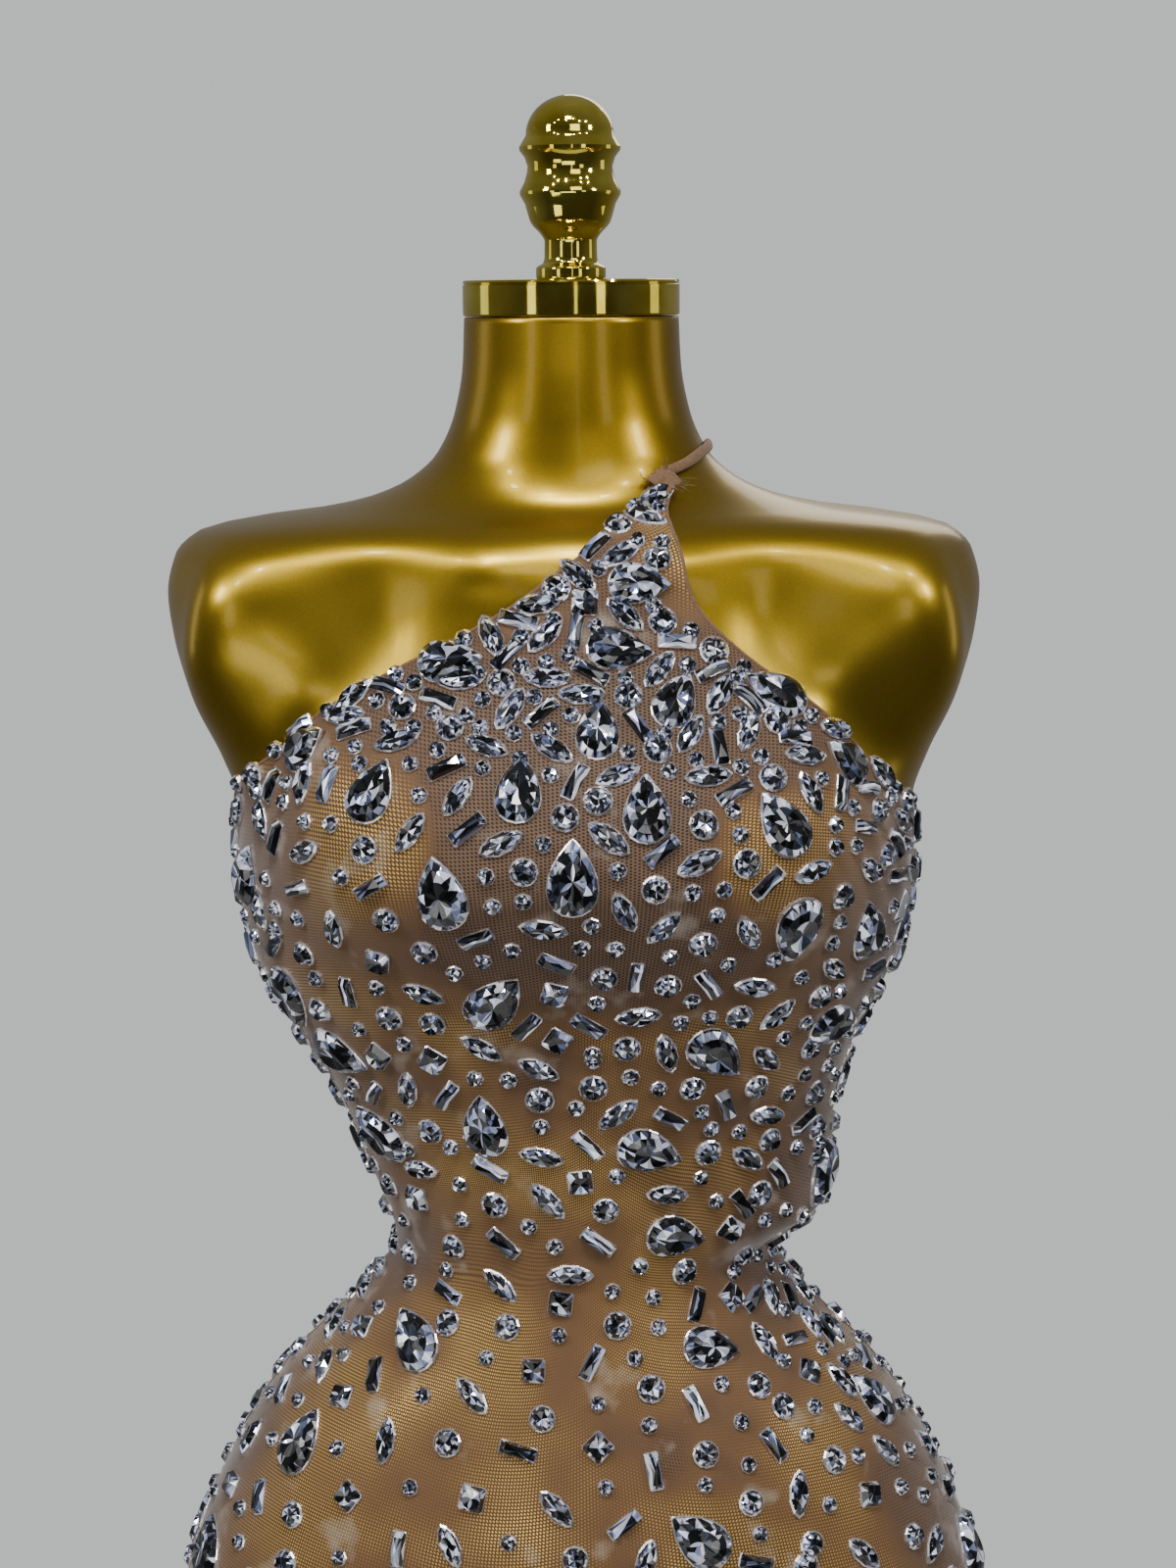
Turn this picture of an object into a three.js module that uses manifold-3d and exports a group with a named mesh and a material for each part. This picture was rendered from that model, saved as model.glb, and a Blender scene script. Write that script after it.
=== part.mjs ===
// A stretch-mesh halter mini dress set with cut stones, worn by a limbless table-top dress form.
// Millimetres, +Z up. The front faces -Y and the wearer's left is +X. Z = 0 is the table.
// "Drop" is the distance below the middle of the neck cap, and "angle" is measured round the
// upright axis: 0 at the centre front, 90 at the wearer's left side, 180 at the centre back.
import * as THREE from 'three';
import { mergeVertices } from 'three/addons/utils/BufferGeometryUtils.js';
import Module from 'manifold-3d';

// ---------------------------------------------------------------- driving dimensions
const capMiddle = 1000;       // height of the neck cap's middle above the table
const hemDrop = 855;
const clothThickness = 1.8;
const clothClearance = 1.6;   // between the form and the cloth's inner face
const seamGap = 0.3;
const sideSeamAngle = 95;
const weldDistance = 1e-4;

// The form's slices: half its width, how far its front and back lie from the axis, and how square
// the slice is (2 is an ellipse).
const formSections = [
  { drop: 8, halfWidth: 50.5, front: 50, back: 50, square: 2 },
  { drop: 30, halfWidth: 51.5, front: 50, back: 52, square: 2 },
  { drop: 52, halfWidth: 55.5, front: 51, back: 56, square: 2 },
  { drop: 71, halfWidth: 64, front: 54, back: 64, square: 2 },
  { drop: 83, halfWidth: 77, front: 57, back: 74, square: 2.05 },
  { drop: 92, halfWidth: 97, front: 61, back: 82, square: 2.15 },
  { drop: 98, halfWidth: 125, front: 67, back: 87, square: 2.25 },
  { drop: 102, halfWidth: 157, front: 73, back: 90, square: 2.35 },
  { drop: 107, halfWidth: 178, front: 79, back: 93, square: 2.4 },
  { drop: 117, halfWidth: 188.5, front: 85, back: 98, square: 2.45 },
  { drop: 135, halfWidth: 192.5, front: 90, back: 104, square: 2.5 },
  { drop: 155, halfWidth: 190, front: 95, back: 108, square: 2.5 },
  { drop: 183, halfWidth: 181, front: 100, back: 112, square: 2.5 },
  { drop: 212, halfWidth: 168, front: 107, back: 113, square: 2.5 },
  { drop: 235, halfWidth: 160.5, front: 112, back: 112, square: 2.45 },
  { drop: 265, halfWidth: 159.5, front: 115, back: 108, square: 2.4 },
  { drop: 303, halfWidth: 154.5, front: 112, back: 100, square: 2.35 },
  { drop: 343, halfWidth: 135, front: 105, back: 88, square: 2.3 },
  { drop: 375, halfWidth: 116.5, front: 98, back: 78, square: 2.2 },
  { drop: 417, halfWidth: 100, front: 90, back: 70, square: 2.15 },
  { drop: 456, halfWidth: 88.5, front: 86, back: 68, square: 2.1 },
  { drop: 487, halfWidth: 110, front: 92, back: 78, square: 2.1 },
  { drop: 523, halfWidth: 145, front: 103, back: 100, square: 2.15 },
  { drop: 559, halfWidth: 169, front: 112, back: 124, square: 2.2 },
  { drop: 600, halfWidth: 188, front: 118, back: 146, square: 2.2 },
  { drop: 632, halfWidth: 198, front: 120, back: 155, square: 2.2 },
  { drop: 670, halfWidth: 203, front: 119, back: 156, square: 2.2 },
  { drop: 720, halfWidth: 202, front: 114, back: 146, square: 2.2 },
  { drop: 780, halfWidth: 195, front: 106, back: 128, square: 2.2 },
  { drop: 840, halfWidth: 187, front: 100, back: 118, square: 2.2 },
  { drop: 888, halfWidth: 181, front: 97, back: 113, square: 2.2 },
];

// The soft bust: one mound on each side of the centre. Cloth stretches flat from one to the other
// and runs straight to them from above, so its spreads are wider than the form's.
const bust = {
  across: 72, drop: 243, height: 30,
  form: { inner: 44, outer: 52, above: 52, below: 40 },
  cloth: { inner: 400, outer: 56, above: 78, below: 56 },
};

// Each shoulder cap is a rounded boss, higher at its upper inner side. A hollow lies between it and
// the breastbone, and the collar bone is a low roll above that.
const shoulderForms = [
  { across: 146, drop: 131, height: 13, spreadAcross: 23, spreadDrop: 30 },
  { across: 163, drop: 168, height: 10, spreadAcross: 19, spreadDrop: 34 },
  { across: 96, drop: 146, height: -9, spreadAcross: 26, spreadDrop: 34 },
  { across: 132, drop: 198, height: -7, spreadAcross: 24, spreadDrop: 26 },
  { across: 38, drop: 118, height: 4, spreadAcross: 20, spreadDrop: 15 },
];

// The bust and shoulder forms fade in over this range of the cosine of the angle, so the back is
// free of them.
const frontFacing = { from: 0, to: 0.35 };

const radians = (degrees) => degrees * Math.PI / 180;
const degrees = (radian) => radian * 180 / Math.PI;
const clamp01 = (t) => Math.min(1, Math.max(0, t));
const ease = (from, to, value) => {
  const t = clamp01((value - from) / (to - from));
  return t * t * (3 - 2 * t);
};
const bell = (t) => Math.exp(-t * t);

// A smooth curve through a table's column that never overshoots its rows.
function along(table, key, column, value) {
  const last = table.length - 1;
  if (value <= table[0][key]) return table[0][column];
  if (value >= table[last][key]) return table[last][column];
  let i = 0;
  while (value > table[i + 1][key]) i += 1;
  const slope = (k) => (table[k + 1][column] - table[k][column]) / (table[k + 1][key] - table[k][key]);
  const tangent = (k) => {
    if (k === 0) return slope(0);
    if (k === last) return slope(last - 1);
    const before = slope(k - 1);
    const after = slope(k);
    return before * after <= 0 ? 0 : (2 * before * after) / (before + after);
  };
  const step = table[i + 1][key] - table[i][key];
  const t = (value - table[i][key]) / step;
  const a = (1 + 2 * t) * (1 - t) ** 2;
  const b = t * (1 - t) ** 2;
  const c = t * t * (3 - 2 * t);
  const d = t * t * (t - 1);
  return a * table[i][column] + b * step * tangent(i)
    + c * table[i + 1][column] + d * step * tangent(i + 1);
}

function bustRise(across, drop, spread) {
  const side = Math.abs(across) - bust.across;
  const level = drop - bust.drop;
  return bust.height * bell(side / (side < 0 ? spread.inner : spread.outer))
    * bell(level / (level < 0 ? spread.above : spread.below));
}

function shoulderRise(across, drop) {
  return shoulderForms.reduce((sum, s) => sum + s.height
    * bell((Math.abs(across) - s.across) / s.spreadAcross) * bell((drop - s.drop) / s.spreadDrop), 0);
}

// Distance from the axis to the body at an angle and drop, with the bust as skin or as cloth has it.
function bodyRadius(angle, drop, bustSpread) {
  const sine = Math.sin(radians(angle));
  const cosine = Math.cos(radians(angle));
  const square = along(formSections, 'drop', 'square', drop);
  const halfWidth = along(formSections, 'drop', 'halfWidth', drop);
  const depth = along(formSections, 'drop', cosine > 0 ? 'front' : 'back', drop);
  const slice = (Math.abs(sine / halfWidth) ** square + Math.abs(cosine / depth) ** square) ** (-1 / square);
  const facing = ease(frontFacing.from, frontFacing.to, cosine);
  return slice + facing * (bustRise(slice * sine, drop, bustSpread) + shoulderRise(slice * sine, drop));
}

const place = (angle, drop, radius) => new THREE.Vector3(
  radius * Math.sin(radians(angle)), -radius * Math.cos(radians(angle)), capMiddle - drop);

// The angle at which a slice's evenly spread point number `turn` (in degrees) lies.
function evenAngle(turn, drop) {
  const halfWidth = along(formSections, 'drop', 'halfWidth', drop);
  const depth = along(formSections, 'drop', Math.cos(radians(turn)) > 0 ? 'front' : 'back', drop);
  const angle = Math.atan2(halfWidth * Math.sin(radians(turn)), depth * Math.cos(radians(turn)));
  return degrees(angle) + (turn > 180 ? 360 : 0);
}

function indexedGeometry(points, faces) {
  const geometry = new THREE.BufferGeometry();
  geometry.setAttribute('position', new THREE.Float32BufferAttribute(points.flatMap((p) => p.toArray()), 3));
  geometry.setIndex(faces.flat());
  geometry.computeVertexNormals();
  return geometry;
}

const object = new THREE.Group();
function addPiece(name, geometry, finish) {
  const mesh = new THREE.Mesh(geometry, new THREE.MeshStandardMaterial(finish));
  mesh.name = name;
  object.add(mesh);
  return mesh;
}

const pearlGold = { color: 0xb8902c, roughness: 0.28, metalness: 0.75 };

// ---------------------------------------------------------------- dress form
const formColumns = 48;
const formBottomInset = 4;
const formDrops = [8, 24, 42, 58, 71, 81, 88, 93, 97, 100.5, 104, 108, 115, 125, 138, 155, 175, 196, 217,
  237, 257, 278, 301, 327, 354, 381, 406, 428, 446, 462, 478, 496, 518, 544, 574, 608, 648, 695, 748, 800,
  850, 882, 888];

function dressForm() {
  const points = [];
  const faces = [];
  formDrops.forEach((drop, row) => {
    const inset = row === formDrops.length - 1 ? formBottomInset : 0;
    for (let column = 0; column < formColumns; column += 1) {
      const angle = evenAngle(column * 360 / formColumns, drop);
      points.push(place(angle, drop, bodyRadius(angle, drop, bust.form) - inset));
    }
  });
  for (let row = 0; row < formDrops.length - 1; row += 1) {
    for (let column = 0; column < formColumns; column += 1) {
      const next = (column + 1) % formColumns;
      const a = row * formColumns + column;
      const b = row * formColumns + next;
      faces.push([a, a + formColumns, b + formColumns], [a, b + formColumns, b]);
    }
  }
  const top = points.push(new THREE.Vector3(0, 0, capMiddle - formDrops[0])) - 1;
  const bottom = points.push(new THREE.Vector3(0, 0, capMiddle - formDrops.at(-1))) - 1;
  const lastRow = (formDrops.length - 1) * formColumns;
  for (let column = 0; column < formColumns; column += 1) {
    const next = (column + 1) % formColumns;
    faces.push([top, column, next], [bottom, lastRow + next, lastRow + column]);
  }
  return indexedGeometry(points, faces);
}
addPiece('dress_form', dressForm(), pearlGold);

// ---------------------------------------------------------------- cap, finial and stand
const capHeight = 16.6;
const capRadius = 51;
const standRadius = 155;
const standHeight = 10;
const stemRadius = 16;
const partGap = 0.3;
const polishedGold = { color: 0xc9a93a, roughness: 0.08, metalness: 1 };
const capBottom = capMiddle - formDrops[0] + partGap;
const formBottom = capMiddle - formDrops.at(-1);

// A turned piece from its outline: radius and height, bottom to top, closed on the axis.
function turned(outline, sides) {
  const profile = [{ radius: 0, height: outline[0].height }, ...outline,
    { radius: 0, height: outline.at(-1).height }];
  const lathe = new THREE.LatheGeometry(profile.map((p) => new THREE.Vector2(p.radius, p.height)), sides);
  lathe.deleteAttribute('uv');
  lathe.deleteAttribute('normal');
  return mergeVertices(lathe.rotateX(Math.PI / 2), weldDistance);
}

const bevelled = (radius, height, bevel) => [
  { radius: radius - bevel, height: 0 },
  { radius, height: bevel },
  { radius, height: height - bevel },
  { radius: radius - bevel, height },
];

// Heights above the finial's foot.
const finialOutline = [
  { radius: 16, height: 0 },
  { radius: 16.2, height: 5.5 },
  { radius: 13.4, height: 7.5 },
  { radius: 12.3, height: 10.5 },
  { radius: 12.3, height: 17.5 },
  { radius: 13.8, height: 20.5 },
  { radius: 18.6, height: 26 },
  { radius: 20.8, height: 33 },
  { radius: 23.5, height: 39.5 },
  { radius: 21.2, height: 45.5 },
  { radius: 19.9, height: 51 },
  { radius: 21.2, height: 56 },
  { radius: 23.5, height: 60 },
  { radius: 21.3, height: 65 },
  { radius: 19.8, height: 71 },
  { radius: 16.6, height: 77.5 },
  { radius: 11.6, height: 82 },
  { radius: 5.8, height: 84.6 },
];

addPiece('neck_cap', turned(bevelled(capRadius, capHeight, 1), 36), polishedGold)
  .position.z = capBottom;
addPiece('finial', turned(finialOutline, 22), polishedGold)
  .position.z = capBottom + capHeight + partGap;
addPiece('stand_base', turned(bevelled(standRadius, standHeight, 1.5), 48), polishedGold);
addPiece('stand_stem', turned(bevelled(stemRadius, formBottom - standHeight - 2 * partGap, 0.8), 24),
  polishedGold).position.z = standHeight + partGap;

// ---------------------------------------------------------------- cloth
const nudeMesh = { color: 0xa8784a, roughness: 0.6, metalness: 0.1, side: THREE.DoubleSide };

// The front's cut edges: the angles of its left and right side as it is looked at. Above the
// under-arm rows they are the neckline, and at the waist the left side curves in to the open back.
const frontEdges = [
  { drop: 84, left: 35, right: 43.5 },
  { drop: 90, left: 29, right: 39 },
  { drop: 97, left: 20, right: 33.5 },
  { drop: 105, left: 9.5, right: 30 },
  { drop: 114, left: 2.5, right: 29 },
  { drop: 123, left: -6, right: 28.8 },
  { drop: 133, left: -14, right: 30 },
  { drop: 143, left: -22.5, right: 32.5 },
  { drop: 153, left: -31, right: 36.2 },
  { drop: 163, left: -39, right: 40.5 },
  { drop: 172, left: -45.3, right: 45 },
  { drop: 181, left: -50, right: 48.5 },
  { drop: 190, left: -54, right: 51.8 },
  { drop: 200, left: -59, right: 56 },
  { drop: 211, left: -65.2, right: 60.2 },
  { drop: 222, left: -71.5, right: 65 },
  { drop: 234, left: -79, right: 72.5 },
  { drop: 246, left: -86, right: 80 },
  { drop: 258, left: -92, right: 88 },
  { drop: 270, left: -sideSeamAngle, right: sideSeamAngle },
  { drop: 389, left: -sideSeamAngle, right: sideSeamAngle },
  { drop: 405, left: -90, right: sideSeamAngle },
  { drop: 419, left: -87, right: sideSeamAngle },
  { drop: 431, left: -86, right: sideSeamAngle },
  { drop: 441, left: -87, right: 93 },
  { drop: 450, left: -90, right: 93 },
  { drop: 457, left: -sideSeamAngle, right: sideSeamAngle },
  { drop: hemDrop, left: -sideSeamAngle, right: sideSeamAngle },
];
const necklineDrops = [84, 89, 93, 97, 101, 105, 109, 114, 120, 127, 135, 144, 153, 163, 172, 181, 190, 198,
  205, 212, 222, 234, 246, 258, 270];
const bandSeamDrops = [270, 284, 300, 318, 336, 354, 372, 389, 405, 419, 431];
const skirtDrops = [457, 467, 480, 496, 514, 535, 560, 590, 625, 665, 710, 760, 810, hemDrop];
const frontDrops = [...necklineDrops, ...bandSeamDrops.slice(1), 441, 450, ...skirtDrops];

// Under the wearer's left arm the band stands away from the body and is pulled in at the waist.
const sideBulge = {
  height: 24.5, from: 342, full: 432, edge: 433, pinched: 457,
  frontStart: 30, frontFull: 82, backFull: 120, backEnd: 170,   // angles
};
const pinchAngle = 89;
function bulge(angle, drop) {
  const turn = angle < 0 ? angle + 360 : angle;
  const around = ease(sideBulge.frontStart, sideBulge.frontFull, turn)
    * (1 - ease(sideBulge.backFull, sideBulge.backEnd, turn));
  const rising = clamp01((drop - sideBulge.from) / (sideBulge.full - sideBulge.from));
  const falling = 1 - ease(sideBulge.edge, sideBulge.pinched, drop);
  return sideBulge.height * around * rising * falling;
}

// Ridges that spread from where the cloth is pulled in. A heading of 0 runs round to larger
// angles, 90 runs down and 180 runs round to smaller angles.
const folds = [
  { angle: pinchAngle, drop: 461, heading: 196, length: 62, width: 6, height: 1.6 },
  { angle: pinchAngle, drop: 461, heading: 176, length: 88, width: 6.5, height: 2.4 },
  { angle: pinchAngle, drop: 461, heading: 155, length: 74, width: 6, height: 1.9 },
  { angle: pinchAngle, drop: 461, heading: 132, length: 92, width: 7, height: 2.2 },
  { angle: pinchAngle, drop: 461, heading: 106, length: 66, width: 6.5, height: 1.7 },
  { angle: pinchAngle, drop: 461, heading: 74, length: 58, width: 7, height: 1.8 },
  { angle: -88, drop: 458, heading: 12, length: 58, width: 7, height: 1.6 },
  { angle: -88, drop: 458, heading: 40, length: 76, width: 7.5, height: 1.9 },
  { angle: -88, drop: 458, heading: 70, length: 52, width: 7, height: 1.5 },
  { angle: 262, drop: 470, heading: 150, length: 60, width: 8, height: 1.6 },
  { angle: 100, drop: 470, heading: 42, length: 64, width: 8, height: 1.7 },
];

// A ridge is narrower where it starts, swells over a few millimetres and dies out towards its end.
const ridge = { narrow: 0.6, widening: 0.7, before: -4, risen: 10, level: 0.35 };
function foldRise(angle, drop, radius) {
  return folds.reduce((rise, fold) => {
    const apart = ((angle - fold.angle + 540) % 360) - 180;
    const around = radians(apart) * radius;
    const down = drop - fold.drop;
    const heading = radians(fold.heading);
    const forward = around * Math.cos(heading) + down * Math.sin(heading);
    const sideways = down * Math.cos(heading) - around * Math.sin(heading);
    const spread = fold.width * (ridge.narrow + ridge.widening * clamp01(forward / fold.length));
    const fade = ease(ridge.before, ridge.risen, forward)
      * (1 - ease(fold.length * ridge.level, fold.length, forward));
    return rise + fold.height * fade * bell(sideways / spread);
  }, 0);
}

// A point of the cloth's inner layout, before it is moved out along the surface.
function clothPoint(angle, drop) {
  const radius = bodyRadius(angle, drop, bust.cloth);
  return place(angle, drop, radius + bulge(angle, drop) + foldRise(angle, drop, radius));
}

const nudge = { angle: 0.4, drop: 0.8 };   // steps to either side when the slope is measured
function clothNormal(angle, drop) {
  const around = clothPoint(angle + nudge.angle, drop).sub(clothPoint(angle - nudge.angle, drop));
  const down = clothPoint(angle, drop + nudge.drop).sub(clothPoint(angle, drop - nudge.drop));
  return down.cross(around).normalize();
}

const lifted = (angle, drop, out) => clothPoint(angle, drop)
  .addScaledVector(clothNormal(angle, drop), out);

// A closed wall over a grid of spots, inner and outer faces joined along the four edges. Rows run
// from one end of the piece to the other, and a row's points from smaller to larger angles.
function wall(inner, outer) {
  const rows = inner.length;
  const columns = inner[0].length;
  const points = [...inner.flat(), ...outer.flat()];
  const faces = [];
  const at = (row, column, layer) => layer * rows * columns + row * columns + column;
  const quad = (a, b, c, d) => faces.push([a, b, c], [a, c, d]);
  for (let row = 0; row < rows - 1; row += 1) {
    for (let column = 0; column < columns - 1; column += 1) {
      quad(at(row, column, 1), at(row + 1, column, 1), at(row + 1, column + 1, 1), at(row, column + 1, 1));
      quad(at(row, column, 0), at(row, column + 1, 0), at(row + 1, column + 1, 0), at(row + 1, column, 0));
    }
    quad(at(row, 0, 0), at(row + 1, 0, 0), at(row + 1, 0, 1), at(row, 0, 1));
    const end = columns - 1;
    quad(at(row, end, 0), at(row, end, 1), at(row + 1, end, 1), at(row + 1, end, 0));
  }
  for (let column = 0; column < columns - 1; column += 1) {
    quad(at(0, column, 0), at(0, column, 1), at(0, column + 1, 1), at(0, column + 1, 0));
    const end = rows - 1;
    quad(at(end, column, 0), at(end, column + 1, 0), at(end, column + 1, 1), at(end, column, 1));
  }
  return indexedGeometry(points, faces);
}

const clothWall = (grid) => wall(
  grid.map((row) => row.map((spot) => lifted(spot.angle, spot.drop, clothClearance))),
  grid.map((row) => row.map((spot) => lifted(spot.angle, spot.drop, clothClearance + clothThickness))),
);

// A row of spots from one angle to another, evenly spread along the body's slice.
function clothRow(drop, fromAngle, toAngle, columns) {
  const halfWidth = along(formSections, 'drop', 'halfWidth', drop);
  const turn = (angle) => {
    const depth = along(formSections, 'drop', Math.cos(radians(angle)) > 0 ? 'front' : 'back', drop);
    const value = Math.atan2(Math.sin(radians(angle)) / halfWidth, Math.cos(radians(angle)) / depth);
    return degrees(value) + (angle > 180 ? 360 : 0);
  };
  const from = turn(fromAngle);
  const to = turn(toAngle);
  return Array.from({ length: columns + 1 }, (_, i) => (
    { angle: evenAngle(from + (to - from) * i / columns, drop), drop }));
}

const gapAngle = (drop, gap) => degrees(gap / bodyRadius(sideSeamAngle, drop, bust.cloth));

const frontColumns = 22;
const frontGrid = frontDrops.map((drop) => clothRow(drop,
  along(frontEdges, 'drop', 'left', drop), along(frontEdges, 'drop', 'right', drop), frontColumns));

// The back panels run from the seam at the wearer's left, over the centre back, to the other seam.
function backGrid(seamDrops, columns, gap, topAt, bottomAt) {
  return seamDrops.map((seamDrop) => {
    const share = (seamDrop - seamDrops[0]) / (seamDrops.at(-1) - seamDrops[0]);
    const shift = gapAngle(seamDrop, gap);
    return Array.from({ length: columns + 1 }, (_, i) => {
      const turn = sideSeamAngle + (360 - 2 * sideSeamAngle) * i / columns;
      const drop = topAt(turn) + (bottomAt(turn) - topAt(turn)) * share;
      const even = evenAngle(turn, drop);
      const first = sideSeamAngle + shift;
      const angle = i === 0 ? first : i === columns ? 360 - first : even;
      return { angle, drop };
    });
  });
}

// How far a spot is from the nearer side seam, from 0 at the seams to 1 at the centre back.
const towardsBack = (turn) => 1 - Math.abs(turn - 180) / (180 - sideSeamAngle);
const bandColumns = 16;
const skirtColumns = 20;
const band = {
  topSeam: 270, topBack: 262, bottomLeftSeam: 431, bottomRightSeam: 389, bottomBack: 334, levelFrom: 0.95,
};
const bandTop = (turn) => band.topSeam + (band.topBack - band.topSeam) * ease(0, 1, towardsBack(turn));
const bandBottom = (turn) => {
  const seam = turn < 180 ? band.bottomLeftSeam : band.bottomRightSeam;
  return seam + (band.bottomBack - seam) * ease(0, band.levelFrom, towardsBack(turn));
};
const bandGrid = backGrid(bandSeamDrops, bandColumns, seamGap, bandTop, bandBottom);

const skirtTop = { seam: skirtDrops[0], back: 502, levelFrom: 0.9 };
const skirtGrid = backGrid(skirtDrops, skirtColumns, seamGap,
  (turn) => skirtTop.seam + (skirtTop.back - skirtTop.seam) * ease(0, skirtTop.levelFrom, towardsBack(turn)),
  () => hemDrop);

// ---------------------------------------------------------------- large pear stones
const pear = { length: 33, width: 23.5, height: 5.6, tableScale: 0.55 };
// Half of the outline, as shares of the width and length, from the tip to the round end.
const pearOutline = [
  { side: 0, up: 0.55 },
  { side: 0.36, up: 0.18 },
  { side: 0.5, up: -0.17 },
  { side: 0.22, up: -0.45 },
];
const pearRing = [...pearOutline, ...pearOutline.slice(1).reverse()
  .map((p) => ({ side: -p.side, up: p.up }))];

// Where the pears sit on the front, and how large each is beside the full size. A tilt of 0 points
// the tip up and 90 to larger angles.
const frontPears = [
  { angle: 17.5, drop: 125.5, tilt: 92, size: 0.82 },
  { angle: 11, drop: 154, tilt: 98, size: 0.9 },
  { angle: -28.5, drop: 158.5, tilt: 83, size: 0.87 },
  { angle: -53, drop: 198, tilt: 53, size: 0.9 },
  { angle: 22, drop: 176, tilt: 27, size: 0.85 },
  { angle: 5, drop: 188, tilt: 3, size: 0.9 },
  { angle: -36, drop: 214, tilt: 20, size: 0.95 },
  { angle: -10.5, drop: 212.5, tilt: 4, size: 0.95 },
  { angle: 13, drop: 221, tilt: 1, size: 0.97 },
  { angle: 42, drop: 174.5, tilt: -56, size: 0.95 },
  { angle: -23, drop: 256.5, tilt: -10, size: 1 },
  { angle: -0.5, drop: 249.5, tilt: 1, size: 1 },
  { angle: 35.5, drop: 229, tilt: -30, size: 1 },
  { angle: 52, drop: 206, tilt: -49, size: 0.9 },
  { angle: 39.5, drop: 276.5, tilt: 182, size: 1 },
  { angle: 58.5, drop: 286, tilt: -23, size: 1 },
  { angle: -68.5, drop: 262, tilt: 30, size: 1 },
  { angle: -64.5, drop: 318, tilt: 179, size: 1 },
  { angle: -57.5, drop: 344, tilt: 108, size: 1 },
  { angle: -17.5, drop: 310, tilt: 40, size: 1 },
  { angle: 32, drop: 338.5, tilt: 133, size: 1 },
  { angle: 59, drop: 331.5, tilt: 85, size: 1 },
  { angle: -56.5, drop: 386, tilt: -48, size: 1 },
  { angle: -24.5, drop: 374, tilt: -3, size: 1 },
  { angle: 19, drop: 386.5, tilt: 109, size: 0.93 },
  { angle: 74.5, drop: 415, tilt: -150, size: 1 },
  { angle: 29, drop: 431.5, tilt: 103, size: 0.93 },
  { angle: -49, drop: 486.5, tilt: -46, size: 1 },
  { angle: -65, drop: 539.5, tilt: 11, size: 1 },
  { angle: 37.5, drop: 487.5, tilt: 105, size: 0.92 },
  { angle: 74, drop: 528.5, tilt: -25, size: 1 },
  { angle: -77.5, drop: 603.5, tilt: -20, size: 1 },
  { angle: 26.5, drop: 569, tilt: -49, size: 1 },
  { angle: 81.5, drop: 611, tilt: 5, size: 1 },
];

// Pears on the stretches that are laid out evenly: staggered rows, each tip turned differently.
const scatter = { odd: 0.3, even: 0.7, rise: 14, perStone: 2.4, perRow: 1.7, tiltStone: 137, tiltRow: 61 };
function pearRows(drops, perRow, fromAngle, toAngle) {
  return drops.flatMap((drop, row) => Array.from({ length: perRow }, (_, i) => {
    const stagger = row % 2 ? scatter.odd : scatter.even;
    return {
      angle: fromAngle + (toAngle - fromAngle) * (i + stagger) / perRow,
      drop: drop + scatter.rise * Math.sin(scatter.perStone * i + scatter.perRow * row),
      tilt: (scatter.tiltStone * (i + 1) + scatter.tiltRow * row) % 360,
      size: 1,
    };
  }));
}
const lowerFrontPears = pearRows([668, 732, 796], 4, -88, 88);
const skirtBackPears = pearRows([556, 622, 688, 748, 808], 3, 105, 255);
const bandPears = pearRows([300], 5, 108, 252);

const seatingReach = 40;   // a ray starts this far outside the panel that a stone sits on

// One pear stone set on a panel: a ring half way into the wall, a smaller flat table above it.
function pearStone(panel, { angle, drop, tilt, size }) {
  const middle = clothPoint(angle, drop);
  const normal = clothNormal(angle, drop);
  const up = new THREE.Vector3(0, 0, 1).projectOnPlane(normal).normalize();
  const side = new THREE.Vector3().crossVectors(up, normal);
  const cosine = Math.cos(radians(tilt));
  const sine = Math.sin(radians(tilt));
  const spot = (p, scale) => {
    const wide = size * scale * p.side * pear.width;
    const tall = size * scale * p.up * pear.length;
    return middle.clone().addScaledVector(side, wide * cosine + tall * sine)
      .addScaledVector(up, tall * cosine - wide * sine);
  };
  const inwards = normal.clone().negate();
  // A stone near an edge overhangs it: past the edge its ring follows the body instead.
  const onPanel = (point, out) => {
    const ray = new THREE.Raycaster(point.clone().addScaledVector(normal, seatingReach), inwards);
    const hits = ray.intersectObject(panel);
    if (hits.length > 0) return hits[0].point.addScaledVector(normal, out);
    return lifted(degrees(Math.atan2(point.x, -point.y)), capMiddle - point.z,
      clothClearance + clothThickness + out);
  };
  const base = pearRing.map((p) => onPanel(spot(p, 1), -clothThickness / 2));
  const seat = onPanel(middle, 0);
  const level = seat.clone().sub(middle).dot(normal) + pear.height;
  const table = pearRing.map((p) => spot(p, pear.tableScale).addScaledVector(normal, level));
  const count = pearRing.length;
  const points = [...base, ...table, seat.clone().addScaledVector(normal, -clothThickness / 2)];
  const faces = [];
  for (let i = 0; i < count; i += 1) {
    const next = (i + 1) % count;
    faces.push([i, count + next, next], [i, count + i, count + next], [2 * count, i, next]);
    if (i > 0 && next > 0) faces.push([count, count + next, count + i]);
  }
  return indexedGeometry(points, faces);
}

const wasm = await Module();
wasm.setup();
function solidOf(geometry) {
  const bare = new THREE.BufferGeometry();
  bare.setAttribute('position', geometry.getAttribute('position'));
  bare.setIndex(geometry.getIndex());
  const merged = mergeVertices(bare, weldDistance);
  return new wasm.Manifold(new wasm.Mesh({
    numProp: 3,
    vertProperties: new Float32Array(merged.getAttribute('position').array),
    triVerts: new Uint32Array(merged.getIndex().array),
  }));
}

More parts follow.
